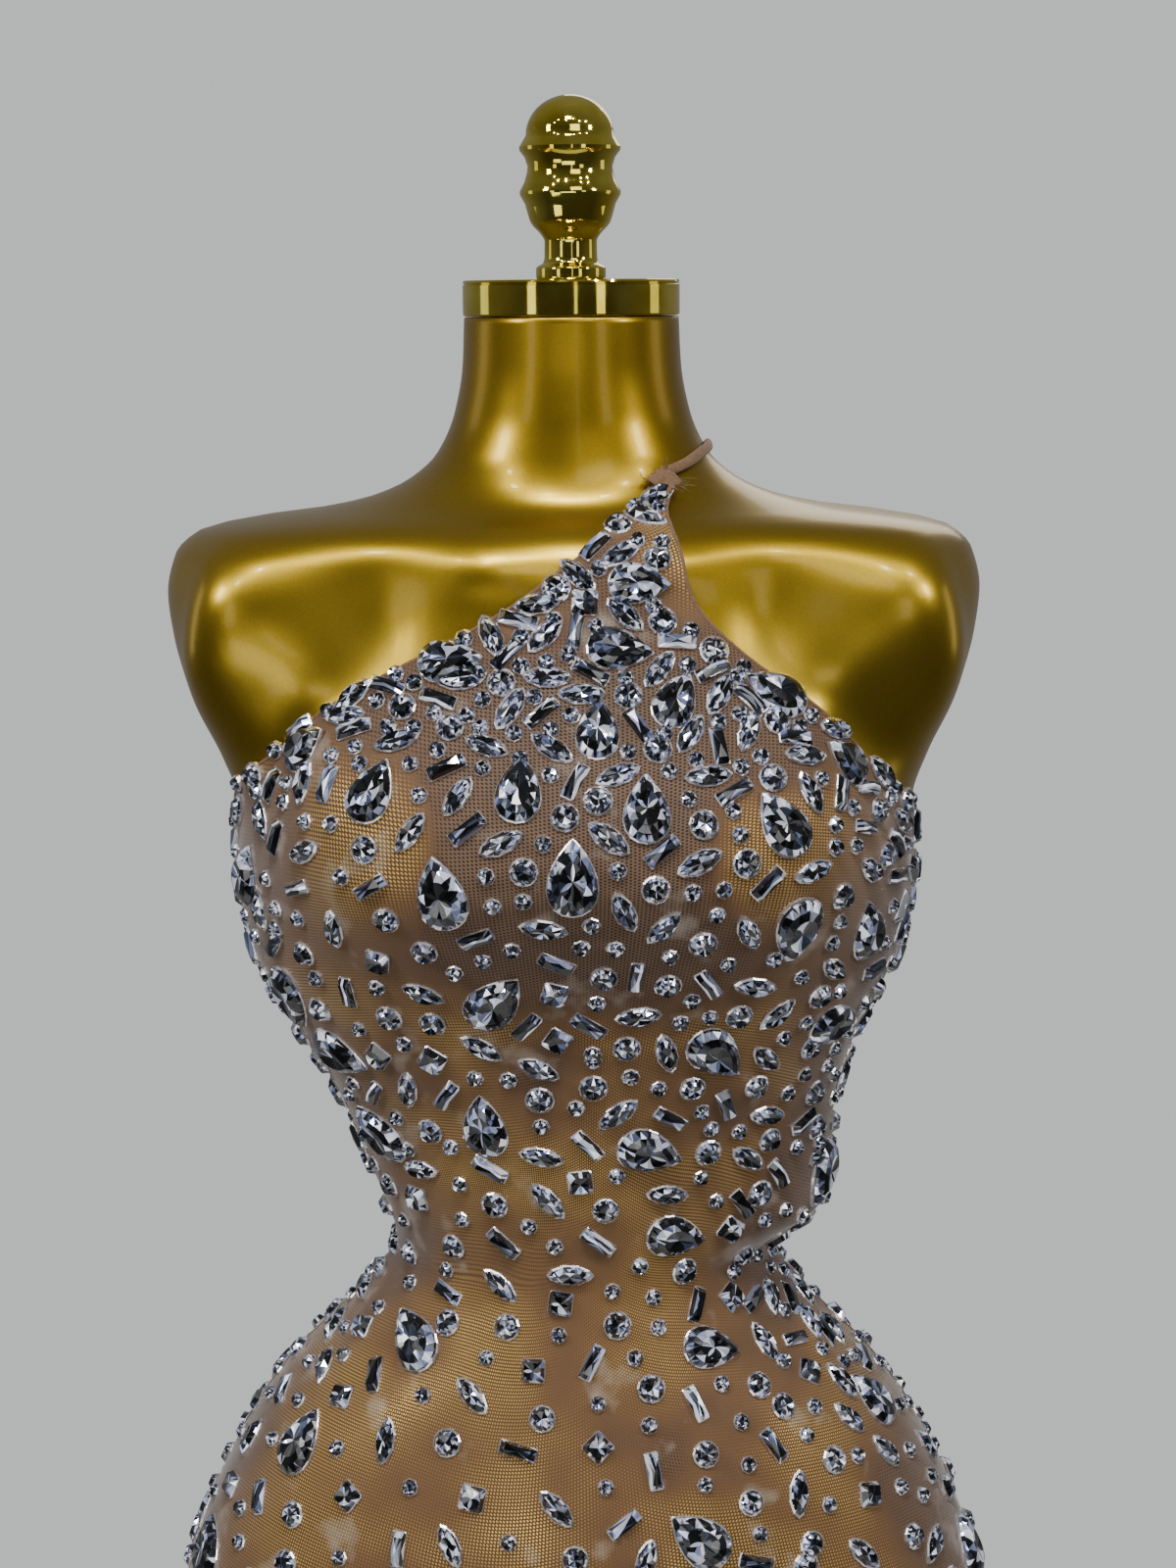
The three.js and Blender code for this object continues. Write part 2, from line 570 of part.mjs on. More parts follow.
function withPears(geometryOfPanel, pears) {
  const panel = new THREE.Mesh(geometryOfPanel, new THREE.MeshBasicMaterial());
  const solid = pears.reduce((whole, spot) => whole.add(solidOf(pearStone(panel, spot))),
    solidOf(geometryOfPanel));
  // Specks of air caught under a stone come out as shells of their own and are left away.
  const whole = solid.decompose().reduce((a, b) => (a.volume() > b.volume() ? a : b));
  const mesh = whole.getMesh();
  const geometry = new THREE.BufferGeometry();
  geometry.setAttribute('position', new THREE.Float32BufferAttribute(mesh.vertProperties, 3));
  geometry.setIndex([...mesh.triVerts]);
  geometry.computeVertexNormals();
  return geometry;
}

addPiece('dress_front', withPears(clothWall(frontGrid), [...frontPears, ...lowerFrontPears]), nudeMesh);
addPiece('dress_back_band', withPears(clothWall(bandGrid), bandPears), nudeMesh);
addPiece('dress_skirt_back', withPears(clothWall(skirtGrid), skirtBackPears), nudeMesh);

// ---------------------------------------------------------------- strap and tack
const strap = { width: 5, thickness: 1.6, clearance: 1.3, steps: 44 };
// From the front's tip over the neck slope and across the back to the band.
const strapRoute = [
  { angle: 43, drop: 79.4 },
  { angle: 55, drop: 76 },
  { angle: 72, drop: 71 },
  { angle: 90, drop: 69 },
  { angle: 108, drop: 72 },
  { angle: 126, drop: 81 },
  { angle: 142, drop: 96 },
  { angle: 154, drop: 122 },
  { angle: 163, drop: 160 },
  { angle: 171, drop: 205 },
  { angle: 178, drop: band.topBack - 1 },
];

function neckStrap() {
  const curve = new THREE.CatmullRomCurve3(strapRoute.map((p) => new THREE.Vector3(p.angle, p.drop, 0)),
    false, 'centripetal');
  const spots = curve.getSpacedPoints(strap.steps);
  const inner = [];
  const outer = [];
  spots.forEach((spot, i) => {
    const before = spots[Math.max(i - 1, 0)];
    const after = spots[Math.min(i + 1, strap.steps)];
    const normal = clothNormal(spot.x, spot.y);
    const heading = clothPoint(after.x, after.y).sub(clothPoint(before.x, before.y)).normalize();
    const side = new THREE.Vector3().crossVectors(normal, heading).normalize();
    const edge = (out) => [-1, 1].map((s) => clothPoint(spot.x, spot.y)
      .addScaledVector(side, s * strap.width / 2).addScaledVector(normal, out));
    inner.push(edge(strap.clearance));
    outer.push(edge(strap.clearance + strap.thickness));
  });
  return wall(inner, outer);
}
addPiece('neck_strap', neckStrap(), nudeMesh);

const tack = { width: 12, length: 11, thickness: 1.6, rows: 4, columns: 4 };
const tackSpot = { angle: 38.5, drop: 84.5 };
function strapTack() {
  const middle = clothPoint(tackSpot.angle, tackSpot.drop);
  const normal = clothNormal(tackSpot.angle, tackSpot.drop);
  const end = clothPoint(strapRoute[1].angle, strapRoute[1].drop);
  const length = end.sub(middle).projectOnPlane(normal).normalize();
  const width = new THREE.Vector3().crossVectors(length, normal);
  const base = clothClearance + clothThickness + seamGap;
  const layer = (out) => Array.from({ length: tack.rows + 1 }, (_, row) => (
    Array.from({ length: tack.columns + 1 }, (__, column) => {
      const spot = middle.clone()
        .addScaledVector(length, (0.5 - row / tack.rows) * tack.length)
        .addScaledVector(width, (column / tack.columns - 0.5) * tack.width);
      return lifted(degrees(Math.atan2(spot.x, -spot.y)), capMiddle - spot.z, base + out);
    })));
  return wall(layer(0), layer(tack.thickness));
}
addPiece('strap_tack', strapTack(), nudeMesh);

export default object;
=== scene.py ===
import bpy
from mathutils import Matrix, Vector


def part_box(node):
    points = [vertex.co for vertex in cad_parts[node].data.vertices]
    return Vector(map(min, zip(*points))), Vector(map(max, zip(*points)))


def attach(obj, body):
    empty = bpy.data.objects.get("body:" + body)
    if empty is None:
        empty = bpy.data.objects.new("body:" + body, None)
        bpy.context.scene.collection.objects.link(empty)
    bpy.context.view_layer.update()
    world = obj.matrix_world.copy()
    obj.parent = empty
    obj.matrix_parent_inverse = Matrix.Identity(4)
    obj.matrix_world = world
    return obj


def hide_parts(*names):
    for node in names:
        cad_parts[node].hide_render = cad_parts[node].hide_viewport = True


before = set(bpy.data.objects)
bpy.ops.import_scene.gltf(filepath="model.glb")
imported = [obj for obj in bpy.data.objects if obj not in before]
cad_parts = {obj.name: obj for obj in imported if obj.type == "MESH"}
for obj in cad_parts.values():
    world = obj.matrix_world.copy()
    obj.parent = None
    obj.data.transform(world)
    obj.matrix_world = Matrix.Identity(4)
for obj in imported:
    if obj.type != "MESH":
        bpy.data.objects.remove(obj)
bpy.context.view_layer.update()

import math
import random

import bmesh
import bpy
import numpy as np
from mathutils import Matrix, Vector

# Rhinestone mini dress on a gold dress form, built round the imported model. The front faces -Y.
# Body sizes are in millimetres. "Drop" is measured down from the middle of the neck cap and
# "angle" round the upright axis: 0 at the centre front, 90 at the wearer's left side. Left and
# right are the wearer's, except in the names of the lamps, which are set out from the camera.
mm = 0.001
capMiddle = 1000.0  # drop 0, in millimetres above the table

camera = {
    "place": (0.0059, -1.4, 1.0),  # level with the neck cap, 1.4 m in front of the axis
    "lens": 67.5,
    "pitchDown": 9.37,
    "roll": 0.5,
    "clipStart": 0.05,
    "frame": (1200, 1600),
}
cameraTurn = (Matrix.Rotation(math.radians(90 - camera["pitchDown"]), 4, "X")
              @ Matrix.Rotation(math.radians(-camera["roll"]), 4, "Z"))


def makeCamera():
    bpy.ops.object.camera_add(location=camera["place"])
    view = bpy.context.object
    view.name = "view_camera"
    view.data.lens = camera["lens"]
    view.data.clip_start = camera["clipStart"]
    view.matrix_world = Matrix.Translation(camera["place"]) @ cameraTurn
    bpy.context.scene.camera = view
    print("camera placed")


makeCamera()


def linear(hexColour):
    # an sRGB hex value as linear red, green, blue and alpha
    values = [int(hexColour[i:i + 2], 16) / 255 for i in (1, 3, 5)]
    return [v / 12.92 if v <= 0.04045 else ((v + 0.055) / 1.055) ** 2.4 for v in values] + [1.0]


def newMaterial(name):
    material = bpy.data.materials.new(name)
    material.use_nodes = True
    material.node_tree.nodes.clear()
    return material


def node(owner, kind, links=None, **settings):
    # adds a node to a material or the world; links are sockets to join or values to set
    made = owner.node_tree.nodes.new(kind)
    for key, value in settings.items():
        setattr(made, key, value)
    for key, value in (links or {}).items():
        socket = made.inputs[key]
        if isinstance(value, bpy.types.NodeSocket):
            owner.node_tree.links.new(value, socket)
        else:
            socket.default_value = value
    return made


def ramp(material, factor, stops):
    # each stop is a position with a hex colour or a grey value
    made = node(material, "ShaderNodeValToRGB", {"Fac": factor})
    elements = made.color_ramp.elements
    while len(elements) < len(stops):
        elements.new(0.5)
    for element, (position, colour) in zip(elements, stops):
        element.position = position
        element.color = linear(colour) if isinstance(colour, str) else (colour, colour, colour, 1)
    return made.outputs["Color"]


def finishMaterial(material, shader):
    node(material, "ShaderNodeOutputMaterial", {"Surface": shader.outputs[0]})
    return material


def deselectAll():
    if bpy.context.object and bpy.context.object.mode != "OBJECT":
        bpy.ops.object.mode_set(mode="OBJECT")
    bpy.ops.object.select_all(action="DESELECT")


def makeActive(piece):
    deselectAll()
    piece.select_set(True)
    bpy.context.view_layer.objects.active = piece


def meshPiece(name, points, faces, smooth=True):
    mesh = bpy.data.meshes.new(name)
    mesh.from_pydata([tuple(p) for p in points], [], [tuple(f) for f in faces])
    mesh.update()
    piece = bpy.data.objects.new(name, mesh)
    bpy.context.scene.collection.objects.link(piece)
    if smooth:
        mesh.shade_smooth()
    return piece


def applyModifiers(piece):
    makeActive(piece)
    for modifier in list(piece.modifiers):
        bpy.ops.object.modifier_apply(modifier=modifier.name)


def joined(pieces):
    makeActive(pieces[0])
    for piece in pieces:
        piece.select_set(True)
    if len(pieces) > 1:
        bpy.ops.object.join()
    return pieces[0]


def dress(piece, material):
    piece.data.materials.clear()
    piece.data.materials.append(material)
    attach(piece, "root")


# body sizes, shared by the form and the cloth
sectionColumns = ("drop", "halfWidth", "front", "back", "square")
formSections = np.array([
    (8, 50.5, 50, 50, 2), (30, 51.5, 50, 52, 2), (52, 55.5, 51, 56, 2), (71, 64, 54, 64, 2),
    (83, 77, 57, 74, 2.05), (92, 97, 61, 82, 2.15), (98, 125, 67, 87, 2.25),
    (102, 157, 73, 90, 2.35), (107, 178, 79, 93, 2.4), (117, 188.5, 85, 98, 2.45),
    (135, 192.5, 90, 104, 2.5), (155, 190, 95, 108, 2.5), (183, 181, 100, 112, 2.5),
    (212, 168, 107, 113, 2.5), (235, 160.5, 112, 112, 2.45), (265, 159.5, 115, 108, 2.4),
    (303, 154.5, 112, 100, 2.35), (343, 135, 105, 88, 2.3), (375, 116.5, 98, 78, 2.2),
    (417, 100, 90, 70, 2.15), (456, 88.5, 86, 68, 2.1), (487, 110, 92, 78, 2.1),
    (523, 145, 103, 100, 2.15), (559, 169, 112, 124, 2.2), (600, 188, 118, 146, 2.2),
    (632, 198, 120, 155, 2.2), (670, 203, 119, 156, 2.2), (720, 202, 114, 146, 2.2),
    (780, 195, 106, 128, 2.2), (840, 187, 100, 118, 2.2), (888, 181, 97, 113, 2.2),
], float)
bust = {
    "across": 72, "drop": 243, "height": 30,
    "form": (44, 52, 52, 40),  # spread towards the centre, outwards, above and below
    "cloth": (400, 56, 78, 56),
    "fullFrom": 0.35,  # cosine of the angle inside which bust and shoulders rise in full
}
shoulderForms = (  # across, drop, height, spread across, spread down
    (146, 131, 13, 23, 30), (163, 168, 10, 19, 34), (96, 146, -9, 26, 34), (132, 198, -7, 24, 26),
    (38, 118, 4, 20, 15),
)


def smoothCurve(xs, ys):
    # a curve through the rows that never overshoots them, looked up from a fine table
    tableStep = 0.25
    xs, ys = np.asarray(xs, float), np.asarray(ys, float)
    slope = np.diff(ys) / np.diff(xs)
    before, after = slope[:-1], slope[1:]
    both = np.where(before + after == 0, 1, before + after)
    middle = np.where(before * after > 0, 2 * before * after / both, 0)
    tangent = np.concatenate([[slope[0]], middle, [slope[-1]]])
    fine = np.arange(xs[0], xs[-1] + tableStep, tableStep)
    i = np.clip(np.searchsorted(xs, fine, side="right") - 1, 0, len(xs) - 2)
    step = xs[i + 1] - xs[i]
    t = np.clip((fine - xs[i]) / step, 0, 1)
    value = ((1 + 2 * t) * (1 - t) ** 2 * ys[i] + t * (1 - t) ** 2 * step * tangent[i]
             + t * t * (3 - 2 * t) * ys[i + 1] + t * t * (t - 1) * step * tangent[i + 1])
    return lambda x: np.interp(x, fine, value)


section = {name: smoothCurve(formSections[:, 0], formSections[:, i])
           for i, name in enumerate(sectionColumns) if i}


def ease(start, end, value):
    t = np.clip((np.asarray(value, float) - start) / (end - start), 0, 1)
    return t * t * (3 - 2 * t)


def bell(t):
    return np.exp(-np.square(t))


def sectionRadius(angle, drop):
    # the body's plain section, without its bust and shoulder forms
    sine, cosine = np.sin(np.radians(angle)), np.cos(np.radians(angle))
    square = section["square"](drop)
    depth = np.where(cosine > 0, section["front"](drop), section["back"](drop))
    width = section["halfWidth"](drop)
    return (np.abs(sine / width) ** square + np.abs(cosine / depth) ** square) ** (-1 / square)


def bodyRadius(angle, drop, bustSpread):
    # the section with bust and shoulders; the cloth bridges the hollow between the breasts
    sine, cosine = np.sin(np.radians(angle)), np.cos(np.radians(angle))
    cut = sectionRadius(angle, drop)
    inner, outer, above, below = bust[bustSpread]
    side, level = np.abs(cut * sine) - bust["across"], drop - bust["drop"]
    rise = bust["height"] * bell(side / np.where(side < 0, inner, outer))
    rise = rise * bell(level / np.where(level < 0, above, below))
    for across, at, height, spreadAcross, spreadDrop in shoulderForms:
        swell = height * bell((np.abs(cut * sine) - across) / spreadAcross)
        rise = rise + swell * bell((drop - at) / spreadDrop)
    return cut + ease(0, bust["fullFrom"], cosine) * rise


def place(angle, drop, radius):
    # points in millimetres
    return np.stack([radius * np.sin(np.radians(angle)), -radius * np.cos(np.radians(angle)),
                     capMiddle - drop + 0 * radius], axis=-1)


def evenAngle(turn, drop):
    # the angle of a turn; equal turns space points evenly round a flattened section
    depth = np.where(np.cos(np.radians(turn)) > 0, section["front"](drop), section["back"](drop))
    angle = np.degrees(np.arctan2(section["halfWidth"](drop) * np.sin(np.radians(turn)),
                                  depth * np.cos(np.radians(turn))))
    return angle + np.where(np.asarray(turn) > 180, 360, 0)


def evenTurn(angle, drop):
    depth = np.where(np.cos(np.radians(angle)) > 0, section["front"](drop), section["back"](drop))
    turn = np.degrees(np.arctan2(np.sin(np.radians(angle)) / section["halfWidth"](drop),
                                 np.cos(np.radians(angle)) / depth))
    return turn + np.where(np.asarray(angle) > 180, 360, 0)


# where the cloth ends, how it lies and where it is pulled into folds
hemDrop = 855
sideSeamAngle = 95
seamGapAngle = 0.1  # left open between the front and a back panel
cloth = {
    "lift": 1.5,  # from the body's surface to the cloth's outer face
    "thickness": 0.7,
    "step": 5.0,  # spacing of the cloth's points
}
frontEdges = np.array([  # drop, angle of the right edge, angle of the left edge
    (84, 35, 43.5), (90, 29, 39), (97, 20, 33.5), (105, 9.5, 30), (114, 2.5, 29),
    (123, -6, 28.8), (133, -14, 30), (143, -22.5, 32.5), (153, -31, 36.2), (163, -39, 40.5),
    (172, -45.3, 45), (181, -50, 48.5), (190, -54, 51.8), (200, -59, 56), (211, -65.2, 60.2),
    (222, -71.5, 65), (234, -79, 72.5), (246, -86, 80), (258, -92, 88), (270, -95, 95),
    (389, -95, 95), (405, -90, 95), (419, -87, 95), (431, -86, 95), (441, -87, 93),
    (450, -90, 93), (457, -95, 95), (855, -95, 95),
], float)
frontRightEdge = smoothCurve(frontEdges[:, 0], frontEdges[:, 1])
frontLeftEdge = smoothCurve(frontEdges[:, 0], frontEdges[:, 2])
sideBulge = {  # the loose cloth at the left side above the waist
    "height": 24.5, "start": 342, "full": 432, "pinched": 457,
    "angles": (30, 82, 120, 170),  # starts, full from, full to, ends
}
foldShape = {"startWidth": 0.6, "widens": 0.7, "startsOver": (-4, 10), "fadesFrom": 0.35}
folds = (  # angle and drop of the start, heading, length, width, height
    (89, 461, 196, 62, 6, 1.6), (89, 461, 176, 88, 6.5, 2.4), (89, 461, 155, 74, 6, 1.9),
    (89, 461, 132, 92, 7, 2.2), (89, 461, 106, 66, 6.5, 1.7), (89, 461, 74, 58, 7, 1.8),
    (-88, 458, 12, 58, 7, 1.6), (-88, 458, 40, 76, 7.5, 1.9), (-88, 458, 70, 52, 7, 1.5),
    (262, 470, 150, 60, 8, 1.6), (100, 470, 42, 64, 8, 1.7),
)


def bulge(angle, drop):
    turned = np.where(np.asarray(angle) < 0, np.asarray(angle) + 360, angle)
    starts, fullFrom, fullTo, ends = sideBulge["angles"]
    around = ease(starts, fullFrom, turned) * (1 - ease(fullTo, ends, turned))
    rising = np.clip((drop - sideBulge["start"]) / (sideBulge["full"] - sideBulge["start"]), 0, 1)
    falling = 1 - ease(sideBulge["full"] + 1, sideBulge["pinched"], drop)
    return sideBulge["height"] * around * rising * falling


def foldRise(angle, drop, radius):
    rise = 0
    for foldAngle, foldDrop, heading, length, width, height in folds:
        around = np.radians((angle - foldAngle + 540) % 360 - 180) * radius
        down = drop - foldDrop
        cosine, sine = math.cos(math.radians(heading)), math.sin(math.radians(heading))
        forward, sideways = around * cosine + down * sine, down * cosine - around * sine
        spread = width * (foldShape["startWidth"] + foldShape["widens"] * np.clip(forward / length, 0, 1))
        fading = 1 - ease(length * foldShape["fadesFrom"], length, forward)
        fade = ease(*foldShape["startsOver"], forward) * fading
        rise = rise + height * fade * bell(sideways / spread)
    return rise


def clothPoint(angle, drop):
    radius = bodyRadius(angle, drop, "cloth")
    return place(angle, drop, radius + bulge(angle, drop) + foldRise(angle, drop, radius))


def clothNormal(angle, drop):
    turnStep, dropStep = 0.4, 0.8
    around = clothPoint(angle + turnStep, drop) - clothPoint(angle - turnStep, drop)
    down = clothPoint(angle, drop + dropStep) - clothPoint(angle, drop - dropStep)
    normal = np.cross(down, around)
    return normal / np.linalg.norm(normal, axis=-1, keepdims=True)


def lifted(angle, drop, out):
    return clothPoint(angle, drop) + clothNormal(angle, drop) * out



def pearlGoldLacquer():
    # sprayed metallic lacquer on fibreglass: a deep satin gold of fine flakes under a clear coat;
    # flakes of about 0.9 mm, drawn that coarse to show, clouds of 140 mm and orange peel of 3 mm
    m = newMaterial("pearl_gold_lacquer")
    coords = node(m, "ShaderNodeTexCoord").outputs["Object"]
    flake = node(m, "ShaderNodeTexNoise", {"Vector": coords, "Scale": 1100.0, "Detail": 1.0})
    cloud = node(m, "ShaderNodeTexNoise", {"Vector": coords, "Scale": 7.0, "Detail": 2.0})
    tone = node(m, "ShaderNodeMix", {0: 0.3, 2: cloud.outputs["Fac"], 3: flake.outputs["Fac"]}).outputs[0]
    colour = ramp(m, tone, [(0.3, "#957614"), (0.5, "#a48622"), (0.7, "#b39631")])
    peel = node(m, "ShaderNodeTexNoise", {"Vector": coords, "Scale": 300.0, "Detail": 1.0})
    bump = node(m, "ShaderNodeBump", {"Height": peel.outputs["Fac"], "Strength": 0.04, "Distance": 0.0006})
    shader = node(m, "ShaderNodeBsdfPrincipled", {
        "Base Color": colour, "Metallic": 0.97, "Roughness": 0.31, "Normal": bump.outputs["Normal"],
        "Coat Weight": 0.3, "Coat Roughness": 0.1, "Coat IOR": 1.4})
    return finishMaterial(m, shader)


def platedGold():
    # vacuum-plated brass, mirror polished, with a faint greenish cast and haze in 17 mm patches
    m = newMaterial("plated_gold")
    coords = node(m, "ShaderNodeTexCoord").outputs["Object"]
    haze = node(m, "ShaderNodeTexNoise", {"Vector": coords, "Scale": 60.0, "Detail": 3.0})
    colour = ramp(m, haze.outputs["Fac"], [(0.35, "#cdb63a"), (0.65, "#e0cf5c")])
    rough = ramp(m, haze.outputs["Fac"], [(0.3, 0.04), (0.7, 0.09)])
    shader = node(m, "ShaderNodeBsdfPrincipled", {"Base Color": colour, "Metallic": 1.0, "Roughness": rough})
    return finishMaterial(m, shader)


netPitch = 1.6  # millimetres between holes; the real net's 1.5 mm is a little too fine to show


def netHoles(m, coords):
    # three sets of waves 60 degrees apart add up to a honeycomb of round holes
    total = None
    for turn in (0, 60, 120):
        direction = (math.cos(math.radians(turn)), math.sin(math.radians(turn)), 0)
        along = node(m, "ShaderNodeVectorMath", {0: coords, 1: direction}, operation="DOT_PRODUCT")
        wave = 2 * math.pi / (netPitch * mm * math.cos(math.radians(30)))
        angle = node(m, "ShaderNodeMath", {0: along.outputs["Value"], 1: wave}, operation="MULTIPLY")
        cosine = node(m, "ShaderNodeMath", {0: angle.outputs[0]}, operation="COSINE").outputs[0]
        total = cosine if total is None else node(m, "ShaderNodeMath", {0: total, 1: cosine}).outputs[0]
    return total


def stretchNet():
    # nude nylon hexagonal net over gold lacquer: where it touches, the holes show the gold with a painted
    # sheen; where it bridges a hollow the holes are painted dark, as painted shade; the gold shows more
    # strongly in patches of about 80 mm, and in patches of about 30 mm a painted highlight stands for its
    # nylon catching a light
    m = newMaterial("nude_stretch_net")
    coords = node(m, "ShaderNodeUVMap", uv_map="weave").outputs["UV"]
    total = netHoles(m, coords)
    hole = ramp(m, node(m, "ShaderNodeMapRange", {0: total, 1: -1.5, 2: 3.0}).outputs[0],
                [(0.38, 0.0), (0.5, 1.0)])
    objectCoords = node(m, "ShaderNodeTexCoord").outputs["Object"]
    # painted gold sheen, stronger in patches of about 80 mm
    patches = node(m, "ShaderNodeTexNoise", {"Vector": objectCoords, "Scale": 13.0, "Detail": 2.0})
    glow = ramp(m, patches.outputs["Fac"], [(0.36, 0.25), (0.62, 1.0)])
    contact = node(m, "ShaderNodeAttribute", attribute_name="contact").outputs["Fac"]
    shown = node(m, "ShaderNodeMath", {0: contact, 1: glow}, operation="MULTIPLY").outputs[0]
    thread = ramp(m, shown, [(0.0, "#6c5038"), (0.5, "#624325"), (1.0, "#553613")])
    # painted shade and painted gold sheen: near black where the net stands off the lacquer, bright gold where
    # it touches
    shadeAndSheenBeneath = ramp(m, shown, [(0.0, "#080200"), (0.3, "#3a2410"), (0.6, "#94703a"), (1.0, "#e6bd64")])
    colour = node(m, "ShaderNodeMix", {"Factor": hole, 6: thread, 7: shadeAndSheenBeneath}, data_type="RGBA").outputs[2]
    # painted highlight: whitish patches where the nylon would catch a lamp
    glintNoise = node(m, "ShaderNodeTexNoise", {"Vector": objectCoords, "Scale": 34.0, "Detail": 4.0})
    glintShare = ramp(m, glintNoise.outputs["Fac"], [(0.6, 0.0), (0.76, 0.45)])
    colour = node(m, "ShaderNodeMix", {"Factor": glintShare, 6: colour, 7: linear("#c4bcae")},
                  data_type="RGBA").outputs[2]
    shine = node(m, "ShaderNodeMath", {0: hole, 1: shown}, operation="MULTIPLY").outputs[0]
    metallic = node(m, "ShaderNodeMapRange", {0: shine, 3: 0.0, 4: 0.55}).outputs[0]
    rough = node(m, "ShaderNodeMapRange", {0: shine, 3: 0.7, 4: 0.3}).outputs[0]
    bump = node(m, "ShaderNodeBump", {"Height": hole, "Strength": 0.35, "Distance": 0.0004}, invert=True)
    shader = node(m, "ShaderNodeBsdfPrincipled", {
        "Base Color": colour, "Metallic": metallic, "Roughness": rough,
        "Normal": bump.outputs["Normal"], "Sheen Weight": 0.55, "Sheen Roughness": 0.4})
    return finishMaterial(m, shader)


def strapTricot():
    # matt nude tricot of about 0.7 mm stitches, rolled for the strap and folded for the edges
    m = newMaterial("nude_tricot")
    coords = node(m, "ShaderNodeTexCoord").outputs["Object"]
    knit = node(m, "ShaderNodeTexNoise", {"Vector": coords, "Scale": 1400.0, "Detail": 2.0})
    colour = ramp(m, knit.outputs["Fac"], [(0.3, "#583c26"), (0.7, "#80603f")])
    bump = node(m, "ShaderNodeBump", {"Height": knit.outputs["Fac"], "Strength": 0.4, "Distance": 0.0003})
    shader = node(m, "ShaderNodeBsdfPrincipled", {
        "Base Color": colour, "Roughness": 0.75, "Normal": bump.outputs["Normal"], "Sheen Weight": 0.2})
    return finishMaterial(m, shader)


def facetNumber(m, turn, radius, zone):
    # the crown is cut in triangles that point in and out by turns: one number for each of them
    count, inner, outer = zone
    inwardStart = 40.5  # keeps the numbers of those that point in apart from the others
    along = node(m, "ShaderNodeMath", {0: turn, 1: float(count)}, operation="MULTIPLY").outputs[0]
    share = node(m, "ShaderNodeMapRange", {0: radius, 1: inner, 2: outer}).outputs[0]
    part = node(m, "ShaderNodeMath", {0: along}, operation="FRACT").outputs[0]
    side = node(m, "ShaderNodeMath", {0: part, 1: 0.5}, operation="SUBTRACT")
    side = node(m, "ShaderNodeMath", {0: side.outputs[0]}, operation="ABSOLUTE")
    side = node(m, "ShaderNodeMath", {0: side.outputs[0], 1: 2.0}, operation="MULTIPLY").outputs[0]
    pointsOut = node(m, "ShaderNodeMath", {0: side, 1: share}, operation="LESS_THAN").outputs[0]
    straight = node(m, "ShaderNodeMath", {0: along}, operation="FLOOR").outputs[0]
    shifted = node(m, "ShaderNodeMath", {0: along, 1: 0.5})
    shifted = node(m, "ShaderNodeMath", {0: shifted.outputs[0]}, operation="FLOOR")
    shifted = node(m, "ShaderNodeMath", {0: shifted.outputs[0], 1: inwardStart}).outputs[0]
    return node(m, "ShaderNodeMix", {0: pointsOut, 2: shifted, 3: straight}).outputs[0]


def streakNumber(m, spot):
    # a baguette's facets run its whole length, in lanes that bend a little at the middle
    lanes, bend = 2.6, 0.9
    split = node(m, "ShaderNodeSeparateXYZ", {0: spot})
    slant = node(m, "ShaderNodeMath", {0: split.outputs["X"]}, operation="ABSOLUTE").outputs[0]
    slant = node(m, "ShaderNodeMath", {0: slant, 1: bend}, operation="MULTIPLY").outputs[0]
    across = node(m, "ShaderNodeMath", {0: split.outputs["Y"], 1: lanes}, operation="MULTIPLY").outputs[0]
    lane = node(m, "ShaderNodeMath", {0: across, 1: slant}).outputs[0]
    return node(m, "ShaderNodeMath", {0: lane}, operation="FLOOR").outputs[0]


